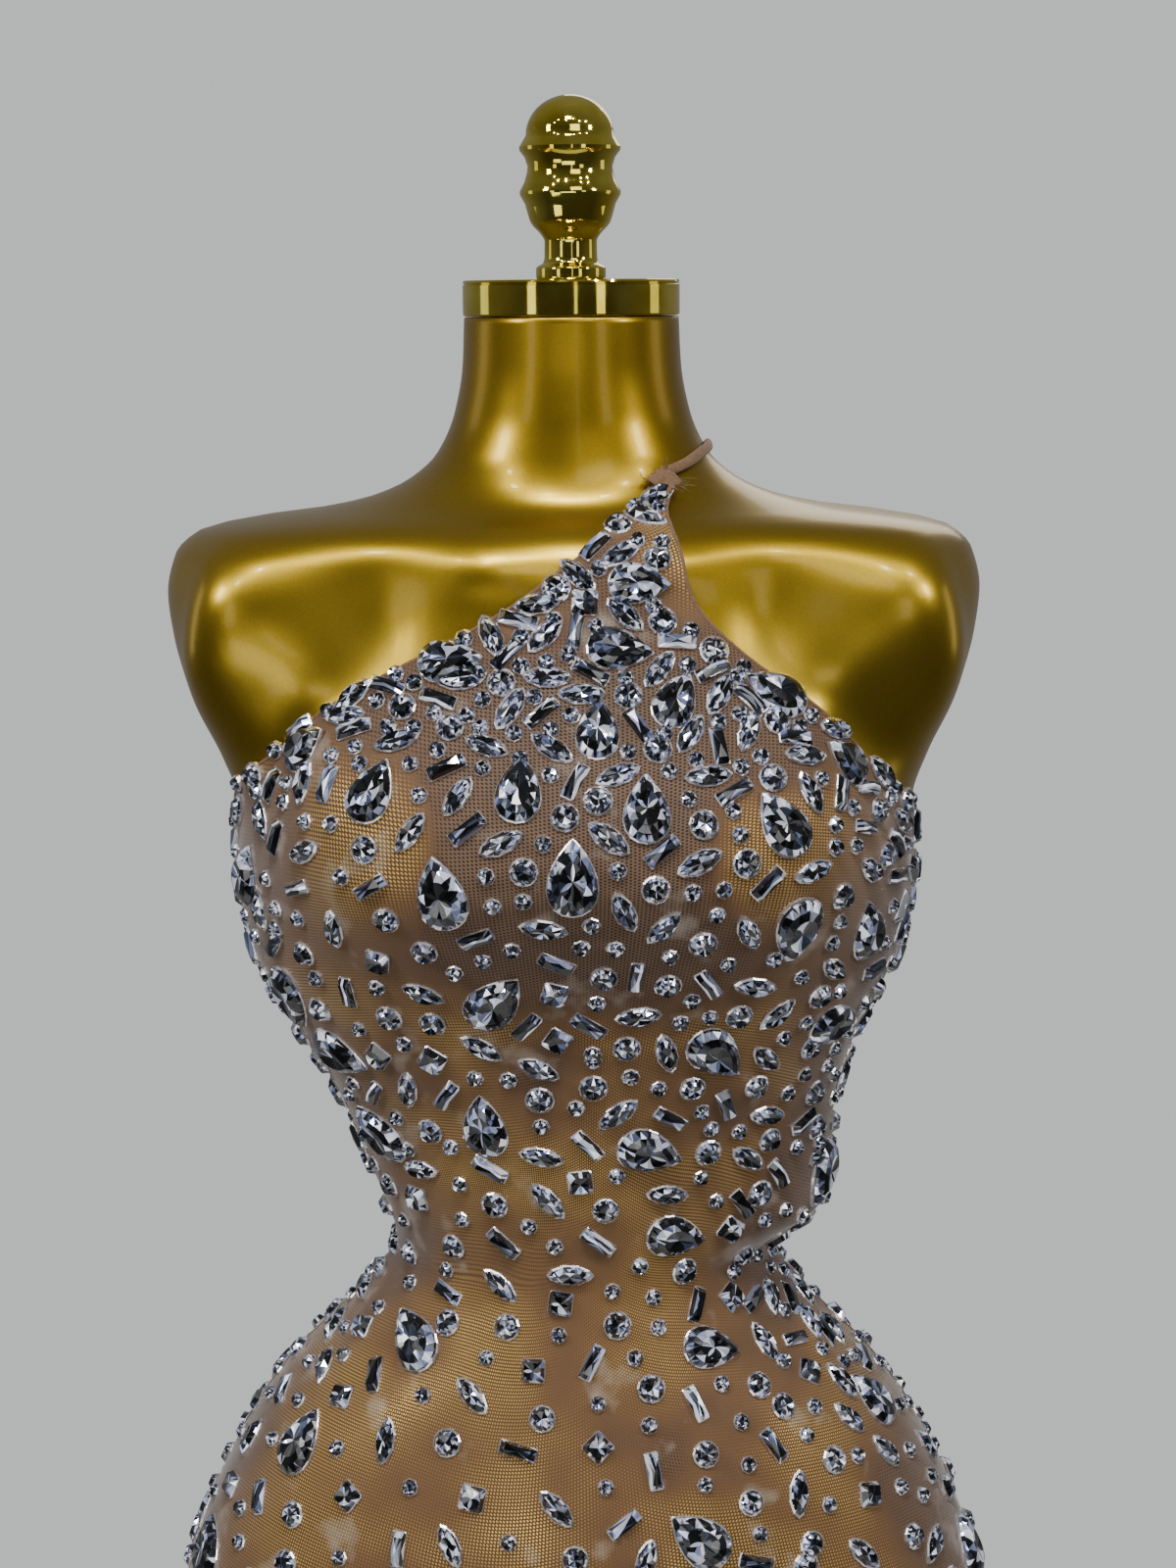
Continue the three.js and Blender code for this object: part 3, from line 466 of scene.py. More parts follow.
def cutCrystal(name, zones, lean):
    # foiled lead glass, cut and polished: each facet's colour is a painted reflection of another part of the
    # room, from black to white, and the foil behind gives the larger stones a cold blue cast; zones run
    # outwards
    zoneStart = 500  # keeps the numbers of one zone's facets apart from the next one's
    m = newMaterial(name)
    spot = node(m, "ShaderNodeUVMap", uv_map="cut").outputs["UV"]
    radius = node(m, "ShaderNodeVectorMath", {0: spot}, operation="LENGTH").outputs["Value"]
    if zones:
        split = node(m, "ShaderNodeSeparateXYZ", {0: spot})
        turn = node(m, "ShaderNodeMath", {0: split.outputs["Y"], 1: split.outputs["X"]}, operation="ARCTAN2")
        turn = node(m, "ShaderNodeMapRange", {0: turn.outputs[0], 1: -math.pi, 2: math.pi}).outputs[0]
        number = facetNumber(m, turn, radius, zones[0])
        for zone in zones[1:]:
            isOut = node(m, "ShaderNodeMath", {0: radius, 1: zone[1]}, operation="GREATER_THAN").outputs[0]
            outer = facetNumber(m, turn, radius, zone)
            outer = node(m, "ShaderNodeMath", {0: outer, 1: zone[1] * zoneStart})
            number = node(m, "ShaderNodeMix", {0: isOut, 2: number, 3: outer.outputs[0]}).outputs[0]
    else:
        number = streakNumber(m, spot)
    stone = node(m, "ShaderNodeAttribute", attribute_name="stone").outputs["Fac"]
    key = node(m, "ShaderNodeCombineXYZ", {"X": number, "Y": stone}).outputs[0]
    chance = node(m, "ShaderNodeTexWhiteNoise", {"Vector": key}, noise_dimensions="3D")
    tone = node(m, "ShaderNodeAttribute", attribute_name="tone").outputs["Fac"]
    mixed = node(m, "ShaderNodeMix", {0: 0.62, 2: tone, 3: chance.outputs["Value"]}).outputs[0]
    spread = node(m, "ShaderNodeMapRange", {0: mixed, 1: 0.2, 2: 0.9}).outputs[0]
    colour = ramp(m, spread, [
        (0.0, "#040405"), (0.25, "#0e1014"), (0.42, "#1f2329"), (0.56, "#4a5268"), (0.68, "#8894c0"),
        (0.8, "#d3dcff"), (1.0, "#ffffff")])
    tilt = node(m, "ShaderNodeVectorMath", {0: chance.outputs["Color"], 1: (0.5, 0.5, 0.5)},
                operation="SUBTRACT")
    tilt = node(m, "ShaderNodeVectorMath", {0: tilt.outputs[0], "Scale": lean}, operation="SCALE")
    face = node(m, "ShaderNodeNewGeometry").outputs["Normal"]
    leaning = node(m, "ShaderNodeVectorMath", {0: face, 1: tilt.outputs[0]})
    normal = node(m, "ShaderNodeVectorMath", {0: leaning.outputs[0]}, operation="NORMALIZE")
    # painted glints: the few facets that would send a lamp straight to the eye glow white
    glint = node(m, "ShaderNodeMapRange", {0: chance.outputs["Value"], 1: 0.86, 2: 0.95, 3: 0.0, 4: 0.55})
    shader = node(m, "ShaderNodeBsdfPrincipled", {
        "Base Color": colour, "Metallic": 0.45, "Roughness": 0.06, "Normal": normal.outputs[0],
        "Coat Weight": 1.0, "Coat Roughness": 0.02, "Coat IOR": 1.6,
        "Emission Color": linear("#f4f6ff"), "Emission Strength": glint.outputs[0]})
    return finishMaterial(m, shader)


def settingMetal():
    # silvered brass rim that holds a stone, worn in spots of about 3 mm
    m = newMaterial("silvered_setting")
    coords = node(m, "ShaderNodeTexCoord").outputs["Object"]
    wear = node(m, "ShaderNodeTexNoise", {"Vector": coords, "Scale": 300.0, "Detail": 2.0})
    colour = ramp(m, wear.outputs["Fac"], [(0.3, "#b9b4b4"), (0.7, "#efe8e6")])
    shader = node(m, "ShaderNodeBsdfPrincipled", {"Base Color": colour, "Metallic": 0.85, "Roughness": 0.22})
    return finishMaterial(m, shader)


formPaint, polishedGold, netCloth = pearlGoldLacquer(), platedGold(), stretchNet()
tricot, rimMetal = strapTricot(), settingMetal()
brilliantCut = cutCrystal("brilliant_crystal", ((6, 0.0, 0.5), (11, 0.5, 0.78), (17, 0.78, 1.2)), 0.5)
squareCut = cutCrystal("princess_crystal", ((4, 0.0, 0.72), (8, 0.72, 1.5)), 0.45)
streakCut = cutCrystal("baguette_crystal", (), 0.3)
print("finishes made")


def copyOfNode(nodeName, name):
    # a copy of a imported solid, its loose triangles merged
    deselectAll()
    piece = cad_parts[nodeName].copy()
    piece.data = piece.data.copy()
    piece.name = name
    piece.parent = None
    piece.matrix_world = Matrix.Identity(4)
    bpy.context.scene.collection.objects.link(piece)
    makeActive(piece)
    bpy.ops.object.mode_set(mode="EDIT")
    bpy.ops.mesh.select_all(action="SELECT")
    bpy.ops.mesh.remove_doubles(threshold=0.00002)
    bpy.ops.mesh.tris_convert_to_quads(face_threshold=1.2, shape_threshold=1.2)
    bpy.ops.object.mode_set(mode="OBJECT")
    return piece


def makeForm():
    # the body's own rows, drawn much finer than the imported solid
    form = {"columns": 160, "rowStep": 3.0, "topRound": 0.6, "footInset": 4, "footRound": 6}
    top, foot = formSections[0, 0], formSections[-1, 0]
    rounding = np.radians(np.arange(15, 91, 15))
    rows = np.arange(top + form["rowStep"], foot - form["footRound"], form["rowStep"])
    drops = np.concatenate([[top, top + form["topRound"]], rows,
                            foot - form["footRound"] * (1 - np.sin(rounding))])
    inset = np.zeros(len(drops))
    inset[0] = form["topRound"]
    inset[-len(rounding):] = form["footInset"] * (1 - np.cos(rounding))
    turns = np.arange(form["columns"]) * 360 / form["columns"]
    grid, turnGrid = np.repeat(drops[:, None], len(turns), axis=1), np.repeat(turns[None], len(drops), axis=0)
    angles = evenAngle(turnGrid, grid)
    points = place(angles, grid, bodyRadius(angles, grid, "form") - inset[:, None])
    index = np.arange(points.size // 3).reshape(len(drops), -1)
    after = np.roll(index, -1, axis=1)
    faces = np.stack([index[:-1], index[1:], after[1:], after[:-1]], -1).reshape(-1, 4).tolist()
    faces += [index[0].tolist(), index[-1][::-1].tolist()]
    piece = meshPiece("form_body", points.reshape(-1, 3) * mm, faces)
    dress(piece, formPaint)
    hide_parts("dress_form")
    print("form made,", len(piece.data.polygons), "faces")


def turnedPiece(name, outline, height, sides=72, smoothUpTo=32):
    # an outline of radius and height in millimetres, spun round the axis
    deselectAll()
    mesh = bpy.data.meshes.new(name)
    points = [(radius * mm, 0, height + level * mm) for radius, level in outline]
    mesh.from_pydata(points, [(i, i + 1) for i in range(len(points) - 1)], [])
    piece = bpy.data.objects.new(name, mesh)
    bpy.context.scene.collection.objects.link(piece)
    makeActive(piece)
    bpy.ops.object.mode_set(mode="EDIT")
    bpy.ops.mesh.select_all(action="SELECT")
    bpy.ops.mesh.spin(steps=sides, angle=math.tau, center=(0, 0, 0), axis=(0, 0, 1))
    bpy.ops.mesh.select_all(action="SELECT")
    bpy.ops.mesh.remove_doubles(threshold=0.00001)
    bpy.ops.mesh.normals_make_consistent(inside=False)
    bpy.ops.object.mode_set(mode="OBJECT")
    bpy.ops.object.shade_smooth_by_angle(angle=math.radians(smoothUpTo))
    return piece


def rounded(outline, steps=4):
    # the outline with its own points kept and a smooth run between them
    points = np.array(outline, float)
    along = np.concatenate([[0], np.cumsum(np.linalg.norm(np.diff(points, axis=0), axis=1))])
    fine = np.unique(np.concatenate([np.linspace(a, b, steps + 1) for a, b in zip(along, along[1:])]))
    return list(zip(smoothCurve(along, points[:, 0])(fine), smoothCurve(along, points[:, 1])(fine)))


def makeTurnedPieces():
    # radius and level of each point of an outline, from the middle of the underside
    plate = {"sides": 96, "smoothUpTo": 12}  # its bevels stay apart from its flats
    finial = {
        "outline": [(16, 0), (16.4, 1), (16.4, 5), (15, 6.4), (13.2, 7.4), (12.4, 10.5), (12.3, 17.5),
                    (13.8, 20.5), (18.6, 26), (20.8, 33)],
        "grooves": [(21.2, 34.6), (23.6, 38.8), (23.7, 40.4), (21.4, 44.8), (20.1, 49.5), (19.9, 52),
                    (21.2, 56), (23.6, 59.2), (23.7, 60.8), (21.4, 64.6)],
        "domeFoot": 66.0, "domeRadius": 20.6, "domeSteps": 12,
    }
    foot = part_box("finial")[0][2]
    top = (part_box("finial")[1][2] - foot) / mm
    domeFoot, domeRadius = finial["domeFoot"], finial["domeRadius"]
    dome = [(domeRadius * math.cos(math.radians(a)),
             domeFoot + (top - domeFoot) * math.sin(math.radians(a)))
            for a in np.linspace(0, 90, finial["domeSteps"])]
    outline = [(0, 0)] + rounded(finial["outline"]) + finial["grooves"] + dome[:-1] + [(0, top)]
    knob = turnedPiece("finial_knob", outline, foot)
    dress(knob, polishedGold)
    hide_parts("finial")

    low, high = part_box("neck_cap")
    radius, height = (high[0] - low[0]) / 2 / mm, (high[2] - low[2]) / mm
    cap = turnedPiece("cap_disc", [
        (0, 0), (radius - 1, 0), (radius - 0.3, 0.3), (radius, 1), (radius, height - 2.4),
        (radius - 0.5, height - 1.9), (radius - 0.5, height - 1.6), (radius, height - 1.1),
        (radius - 0.3, height - 0.3), (radius - 1, height), (radius - 3, height),
        (radius - 3.6, height - 0.5), (0, height - 0.5)], low[2], **plate)
    dress(cap, polishedGold)
    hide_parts("neck_cap")

    low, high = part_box("stand_base")
    radius, height = (high[0] - low[0]) / 2 / mm, (high[2] - low[2]) / mm
    base = turnedPiece("stand_foot", [
        (0, 0), (radius - 1.5, 0), (radius - 0.4, 0.4), (radius, 1.5), (radius, height - 2.5),
        (radius - 0.7, height - 0.8), (radius - 2.5, height), (24, height), (23, height), (0, height)],
        low[2], **plate)
    dress(base, polishedGold)
    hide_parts("stand_base")

    low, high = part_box("stand_stem")
    radius, height = (high[0] - low[0]) / 2 / mm, (high[2] - low[2]) / mm
    stem = turnedPiece("stand_post", [
        (0, 0), (radius - 0.8, 0), (radius, 0.8), (radius, 9), (radius - 1.6, 11),
        (radius - 1.6, height - 11), (radius, height - 9), (radius, height - 0.8),
        (radius - 0.8, height), (0, height)],
        low[2], sides=48)
    dress(stem, polishedGold)
    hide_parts("stand_stem")
    print("turned pieces made")


makeForm()
makeTurnedPieces()

netLie = {
    "weaveRadius": 0.15,  # the net's pattern runs round the body as round a tube of this radius
    "touchGap": (1, 12),  # millimetres above the lacquer: in touch with it, and clear of it
    "sideShade": 0.7,  # how much of the painted gold sheen goes, leaving painted shade, where the cloth turns to the side
    "sideways": (0.55, 0.98),
}


def clothSheet(name, angles, drops, nodeName):
    # angles and drops are grids, a row for each height; the sheet's outer face is at the lift
    rows, columns = angles.shape
    points = lifted(angles, drops, cloth["lift"]).reshape(-1, 3)
    index = np.arange(rows * columns).reshape(rows, columns)
    faces = np.stack([index[:-1, :-1], index[1:, :-1], index[1:, 1:], index[:-1, 1:]], -1).reshape(-1, 4)
    piece = meshPiece(name, points * mm, faces)
    turns = np.radians(evenTurn(angles, drops)) * netLie["weaveRadius"]
    slant = np.linalg.norm(np.diff(lifted(angles, drops, 0), axis=0), axis=2)
    down = np.concatenate([np.zeros((1, columns)), np.cumsum(slant, axis=0)]) * mm
    down = down + (drops[0] - drops.min()) * mm
    weave = np.stack([turns, -down], -1).reshape(-1, 2)
    layer = piece.data.uv_layers.new(name="weave")
    layer.uv.foreach_set("vector", weave[faces.reshape(-1)].reshape(-1))
    # mask of the net's painted shade and gold sheen: the gold shows where the cloth touches the lacquer, and
    # fades to painted shade where it stands off or turns to the side
    gap = bodyRadius(angles, drops, "cloth") + bulge(angles, drops) - bodyRadius(angles, drops, "form")
    turned = ease(*netLie["sideways"], np.abs(clothNormal(angles, drops)[..., 0]))
    touch = (1 - ease(*netLie["touchGap"], gap)) * (1 - netLie["sideShade"] * turned)
    contact = piece.data.attributes.new("contact", "FLOAT", "POINT")
    contact.data.foreach_set("value", touch.reshape(-1))
    thickness = piece.modifiers.new("thickness", "SOLIDIFY")
    thickness.thickness = cloth["thickness"] * mm
    thickness.offset = -1
    applyModifiers(piece)
    dress(piece, netCloth)
    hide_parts(nodeName)
    return piece


netCut = {"share": 0.8}  # the net is cut a fifth narrower than the body and stretches round it


def flatCut(angles, drops):
    # the flat pattern, from the body's plain sections alone: widest, height and area in metres
    points = place(angles, drops, sectionRadius(angles, drops))
    across, down = np.diff(points, axis=1), np.diff(points, axis=0)
    widest = np.linalg.norm(across, axis=2).sum(axis=1).max() * netCut["share"]
    cells = np.linalg.norm(np.cross(across[:-1], down[:, :-1]), axis=2).sum() * netCut["share"]
    outwards = np.diff(np.hypot(points[..., 0], points[..., 1]), axis=0)
    height = np.hypot(outwards, down[..., 2]).sum(axis=0).max()
    return (float(widest * mm), float(height * mm)), float(cells * mm * mm)


def declareCut(piece, angles, drops):
    flat, area = flatCut(angles, drops)
    print(f"{piece.name} cut {flat[0]:.3f} x {flat[1]:.3f} m, {area:.4f} m2")


def towardsBack(turn):
    # 0 at a side seam, 1 at the centre back
    return 1 - np.abs(turn - 180) / (180 - sideSeamAngle)


frontGrid = {"top": 84, "fineUpTo": 170, "fineStep": 3.0, "columns": 96}
band = {  # drops at the side seams and the centre back, and how far round an edge curves
    "topSeam": 270, "topBack": 262, "bottomLeftSeam": 431, "bottomRightSeam": 389, "bottomBack": 334,
    "curvesOver": 0.95, "rows": 30, "columns": 72,
}
skirtBack = {"topSeam": 457, "topBack": 502, "curvesOver": 0.9, "rows": 78, "columns": 90}


def bandTop(turn):
    return band["topSeam"] + (band["topBack"] - band["topSeam"]) * ease(0, 1, towardsBack(turn))


def bandBottom(turn):
    seam = np.where(np.asarray(turn) < 180, band["bottomLeftSeam"], band["bottomRightSeam"])
    return seam + (band["bottomBack"] - seam) * ease(0, band["curvesOver"], towardsBack(turn))


def skirtBackTop(turn):
    seam, back = skirtBack["topSeam"], skirtBack["topBack"]
    return seam + (back - seam) * ease(0, skirtBack["curvesOver"], towardsBack(turn))


def hemAt(turn):
    return hemDrop + 0 * turn


def makeFront():
    top, fineUpTo = frontGrid["top"], frontGrid["fineUpTo"]
    drops = np.concatenate([np.arange(top, fineUpTo, frontGrid["fineStep"]),
                            np.arange(fineUpTo, hemDrop, cloth["step"]), [hemDrop]])
    low, high = evenTurn(frontRightEdge(drops), drops), evenTurn(frontLeftEdge(drops), drops)
    share = np.linspace(0, 1, frontGrid["columns"] + 1)
    turns = low[:, None] + (high - low)[:, None] * share[None, :]
    grid = np.repeat(drops[:, None], len(share), axis=1)
    angles = evenAngle(turns, grid)
    piece = clothSheet("front_panel", angles, grid, "dress_front")
    declareCut(piece, angles, grid)


def makeBackPanel(name, nodeName, topAt, bottomAt, sizes):
    turns = np.linspace(sideSeamAngle, 360 - sideSeamAngle, sizes["columns"] + 1)
    share = np.linspace(0, 1, sizes["rows"] + 1)[:, None]
    top, bottom = topAt(turns)[None, :], bottomAt(turns)[None, :]
    drops = top + (bottom - top) * share
    turnGrid = np.repeat(turns[None, :], len(share), axis=0)
    angles = evenAngle(turnGrid, drops)
    angles[:, 0], angles[:, -1] = sideSeamAngle + seamGapAngle, 360 - sideSeamAngle - seamGapAngle
    piece = clothSheet(name, angles, drops, nodeName)
    declareCut(piece, angles, drops)


makeFront()
makeBackPanel("back_band", "dress_back_band", bandTop, bandBottom, band)
makeBackPanel("skirt_back", "dress_skirt_back", skirtBackTop, hemAt, skirtBack)
print("cloth panels made")

strap = {
    "width": 5.0, "thickness": 3.4, "cutWidth": 14.0, "sides": 12, "steps": 90,
    "clearance": 0.4, "crease": 0.2,
}
strapRoute = np.array([  # angle, drop
    (43, 79.4), (55, 76), (72, 71), (90, 69), (108, 72), (126, 81), (142, 96), (154, 122),
    (163, 160), (171, 205), (178, 261),
], float)
rolledEdge = {
    "width": 1.9, "thickness": 1.3, "sides": 6, "step": 3.0, "turnStep": 1.5, "sunk": 0.2, "aboveHem": 0.6,
    "neckline": (86, 269), "rightWaist": (391, 457), "leftWaist": (433, 457),  # drops from and to
}
tack = {
    "waves": 5, "wavePace": (900, 1900), "crumple": 1.3, "lift": 0.3,  # paces in radians a metre
    "ragged": 0.12, "raggedPace": (1300, 2100),
    "edgeFrom": 0.0062,  # metres from its middle, past which threads start
    "threads": 16, "threadLength": (3.0, 8.0), "threadWidth": 0.34,
}


def clothTube(name, middle, normal, sizes, crease=0.0, hollow=False):
    # a flattened tube of cloth along a run of points; a hollow one has the cloth's own wall
    sides, creaseTurn, creaseSpread = sizes["sides"], 1.9, 0.35
    heading = np.gradient(middle, axis=0)
    heading /= np.linalg.norm(heading, axis=1, keepdims=True)
    side = np.cross(normal, heading)
    turns = math.tau * np.arange(sides) / sides
    pinch = 1 - crease * bell((turns - creaseTurn) / creaseSpread)  # the long fold of a turned strap
    across, out = np.cos(turns) * pinch * sizes["width"] / 2, np.sin(turns) * pinch * sizes["thickness"] / 2
    points = middle[:, None] + side[:, None] * across[:, None] + normal[:, None] * out[:, None]
    index = np.arange(len(middle) * sides).reshape(-1, sides)
    after = np.roll(index, -1, axis=1)
    faces = np.stack([index[:-1], after[:-1], after[1:], index[1:]], -1).reshape(-1, 4).tolist()
    faces += [index[0][::-1].tolist(), index[-1].tolist()]
    piece = meshPiece(name, points.reshape(-1, 3) * mm, faces)
    makeActive(piece)
    bpy.ops.object.mode_set(mode="EDIT")
    bpy.ops.mesh.select_all(action="SELECT")
    bpy.ops.mesh.normals_make_consistent(inside=False)
    bpy.ops.object.mode_set(mode="OBJECT")
    if hollow:
        shape = bmesh.new()
        shape.from_mesh(piece.data)
        bmesh.ops.delete(shape, geom=[f for f in shape.faces if len(f.verts) > 4], context="FACES_ONLY")
        shape.to_mesh(piece.data)
        shape.free()
        wall = piece.modifiers.new("wall", "SOLIDIFY")
        wall.thickness, wall.offset = cloth["thickness"] * mm, -1
        applyModifiers(piece)
    return piece


def makeStrap():
    count = np.arange(len(strapRoute))
    fine = np.linspace(0, len(strapRoute) - 1, strap["steps"] + 1)
    angle = smoothCurve(count, strapRoute[:, 0])(fine)
    drop = smoothCurve(count, strapRoute[:, 1])(fine)
    middle = lifted(angle, drop, strap["thickness"] / 2 + strap["clearance"])
    piece = clothTube("rolled_strap", middle, clothNormal(angle, drop), strap, strap["crease"], hollow=True)
    dress(piece, tricot)
    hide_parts("neck_strap")


def makeRolledEdges():
    # the cut edges are turned in and roll a little: one narrow tube along each run
    step, turnStep = rolledEdge["step"], rolledEdge["turnStep"]
    neck, right, left = [np.arange(*rolledEdge[run], step) for run in ("neckline", "rightWaist", "leftWaist")]
    back, around = np.arange(96, 264.5, turnStep), np.arange(-180, 180.1, turnStep)
    runs = {
        "neckline": ((frontRightEdge(neck), neck), (frontLeftEdge(neck), neck)),
        "waist": ((frontRightEdge(right), right), (frontLeftEdge(left), left)),
        "back": ((evenAngle(back, bandTop(back)), bandTop(back)),
                 (evenAngle(back, bandBottom(back)), bandBottom(back)),
                 (evenAngle(back, skirtBackTop(back)), skirtBackTop(back))),
        "hem": ((around, 0 * around + hemDrop - rolledEdge["aboveHem"]),),
    }
    out = cloth["lift"] - rolledEdge["sunk"]
    for name, edges in runs.items():
        tubes = [clothTube(name + "_roll", lifted(angle, drop, out), clothNormal(angle, drop), rolledEdge)
                 for angle, drop in edges]
        dress(joined(tubes), tricot)
    print("edges rolled")


def makeTack():
    # the strap's folded end sewn over the tip, crumpled, with cut threads left standing at its edges
    piece = copyOfNode("strap_tack", "sewn_tack")
    bpy.ops.object.mode_set(mode="EDIT")
    bpy.ops.mesh.select_all(action="SELECT")
    bpy.ops.mesh.subdivide(number_cuts=2)
    bpy.ops.object.mode_set(mode="OBJECT")
    piece.data.shade_smooth()
    dice = random.Random(12)
    low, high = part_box("strap_tack")
    centre = (Vector(low) + Vector(high)) / 2
    outwards = Vector((centre.x, centre.y, 0)).normalized()
    waves = []
    for _ in range(tack["waves"]):
        way = Vector([dice.uniform(-1, 1) for _ in range(3)]).normalized()
        waves.append((way, dice.uniform(*tack["wavePace"]), dice.random() * 6))
    sidePace, upPace = tack["raggedPace"]
    for v in piece.data.vertices:
        lift = sum(math.sin(v.co.dot(way) * pace + start) for way, pace, start in waves) / len(waves)
        ragged = math.sin(v.co.x * sidePace + v.co.z * upPace) * tack["ragged"]
        v.co += (v.co - centre) * ragged + outwards * (lift * tack["crumple"] + tack["lift"]) * mm
    dress(piece, tricot)
    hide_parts("strap_tack")
    edge = [v.co.copy() for v in piece.data.vertices if (v.co - centre).length > tack["edgeFrom"]]
    sizes = {"sides": 3, "width": tack["threadWidth"], "thickness": tack["threadWidth"]}
    threads = []
    for number in range(tack["threads"]):
        start = edge[dice.randrange(len(edge))]
        away = (start - centre).normalized() + outwards * dice.uniform(0.1, 0.5)
        bend = Vector([dice.uniform(-0.5, 0.5) for _ in range(3)])
        reach = dice.uniform(*tack["threadLength"])
        run = [start / mm + (away * t + bend * t * t) * reach for t in (0, 0.33, 0.66, 1)]
        normals = np.tile(np.array(outwards), (len(run), 1))
        threads.append(clothTube(f"thread_{number}", np.array(run), normals, sizes))
    joined(threads).name = "tack_threads"
    dress(threads[0], tricot)
    print("tack sewn")


makeStrap()
makeRolledEdges()
makeTack()

# Each cut's rings go up from its back: scale, height as a share of the stone's, and the turn in
# corners. The first rings are the silvered setting, the last one is dished to its middle by "dish".
brilliantRings = ((1.08, -0.22, 0), (1.08, 0.2, 0), (0.95, 0.36, 0), (0.6, 1, 0.5))
stepRings = ((1.04, -0.22, 0), (1.04, 0.16, 0), (0.97, 0.3, 0), (0.7, 1, 0))
stoneKinds = {  # length, width and height in millimetres, corners, how its outline is drawn, its cut
    "pear": {"length": 33, "width": 23.5, "height": 6.4, "corners": 20, "shape": "pear", "dish": -0.1,
             "rings": ((1.04, -0.16, 0), (1.04, 0.08, 0), (0.99, 0.15, 0), (0.98, 0.38, 0),
                       (0.79, 0.78, 0.5), (0.55, 1, 0), (0.3, 0.9, 0.5))},
    "navette": {"length": 20.5, "width": 9.8, "height": 4.2, "corners": 10, "shape": "navette",
                "dish": -0.2, "rings": brilliantRings},
    "baguette": {"length": 17, "width": 6.6, "height": 3.6, "corners": 8, "shape": "baguette",
                 "dish": 0.14, "rings": stepRings},
    "square": {"length": 11.5, "width": 11.5, "height": 4.2, "corners": 8, "shape": "square",
               "dish": -0.25, "rings": stepRings},
    "round": {"length": 12.4, "width": 12.4, "height": 4.4, "corners": 12, "shape": "round",
              "dish": -0.2, "rings": brilliantRings},
    "bead": {"length": 8.3, "width": 8.3, "height": 3.6, "corners": 8, "shape": "round",
             "dish": -0.2, "rings": ((1.06, -0.22, 0), (1.05, 0.2, 0), (0.93, 0.4, 0), (0.6, 1, 0.5))},
}


def outlinePoint(kind, share):
    # share runs once round the outline from the tip
    t = math.tau * share
    half = kind["length"] / 2, kind["width"] / 2
    if kind["shape"] == "round":
        return half[0] * math.cos(t), half[1] * math.sin(t)
    if kind["shape"] == "navette":
        return half[0] * math.cos(t), half[1] * math.copysign(abs(math.sin(t)) ** 1.35, math.sin(t))
    if kind["shape"] == "pear":
        return half[0] * math.cos(t) + 0.05 * half[0], half[1] * 1.18 * math.sin(t) * math.sin(t / 2) ** 0.85
    # square and baguette: straight sides with small cut corners
    cut = 0.09 * kind["width"]
    corner = [(half[0], half[1] - cut), (half[0] - cut, half[1]), (cut - half[0], half[1]),
              (-half[0], half[1] - cut), (-half[0], cut - half[1]), (cut - half[0], -half[1]),
              (half[0] - cut, -half[1]), (half[0], cut - half[1])]
    along = (share * 8) % 8
    i = int(along + 1e-6)
    part = along - i
    a, b = corner[i % 8], corner[(i + 1) % 8]
    return a[0] + (b[0] - a[0]) * part, a[1] + (b[1] - a[1]) * part


def cutStone(kindName):
    # one stone drawn up from its back: the setting, the girdle, the crown's facets and the table
    kind = stoneKinds[kindName]
    corners = kind["corners"]
    deselectAll()
    bpy.ops.mesh.primitive_circle_add(vertices=corners, radius=1, fill_type="NGON", location=(0, 0, 0))
    stone = bpy.context.object
    stone.name = "cut_" + kindName
    bpy.ops.object.mode_set(mode="EDIT")
    bpy.ops.mesh.select_all(action="SELECT")
    turns = [math.tau * k / corners for k in range(corners)]
    below = [(math.sin(-turn), math.cos(turn)) for turn in turns]
    for number, (scale, level, turned) in enumerate(kind["rings"]):
        if number:
            bpy.ops.mesh.extrude_region_move(TRANSFORM_OT_translate={"value": (0, 0, 1)})
        ring = [outlinePoint(kind, (k + turned) / corners) for k in range(corners)]
        shape = bmesh.from_edit_mesh(stone.data)
        for v in next(f for f in shape.faces if f.select).verts:
            # each raised corner is known by the corner that it was drawn up from
            k = min(range(corners), key=lambda j: math.dist(v.co.xy, below[j]))
            v.co = (ring[k][0] * scale, ring[k][1] * scale, level * kind["height"])
        below = [(x * scale, y * scale) for x, y in ring]
        bmesh.update_edit_mesh(stone.data)
    bpy.ops.mesh.poke(offset=kind["dish"] * kind["height"])
    bpy.ops.mesh.select_all(action="SELECT")
    bpy.ops.mesh.normals_make_consistent(inside=False)
    bpy.ops.mesh.quads_convert_to_tris(quad_method="SHORTEST_DIAGONAL", ngon_method="BEAUTY")
    bpy.ops.object.mode_set(mode="OBJECT")
    mesh = stone.data
    points = np.array([v.co for v in mesh.vertices])
    faces = np.array([p.vertices for p in mesh.polygons])
    settingTop = kind["rings"][1][1] * kind["height"] + 0.05
    isRim = points[faces][:, :, 2].min(axis=1) < settingTop
    bpy.data.objects.remove(stone)
    return points, faces, isRim


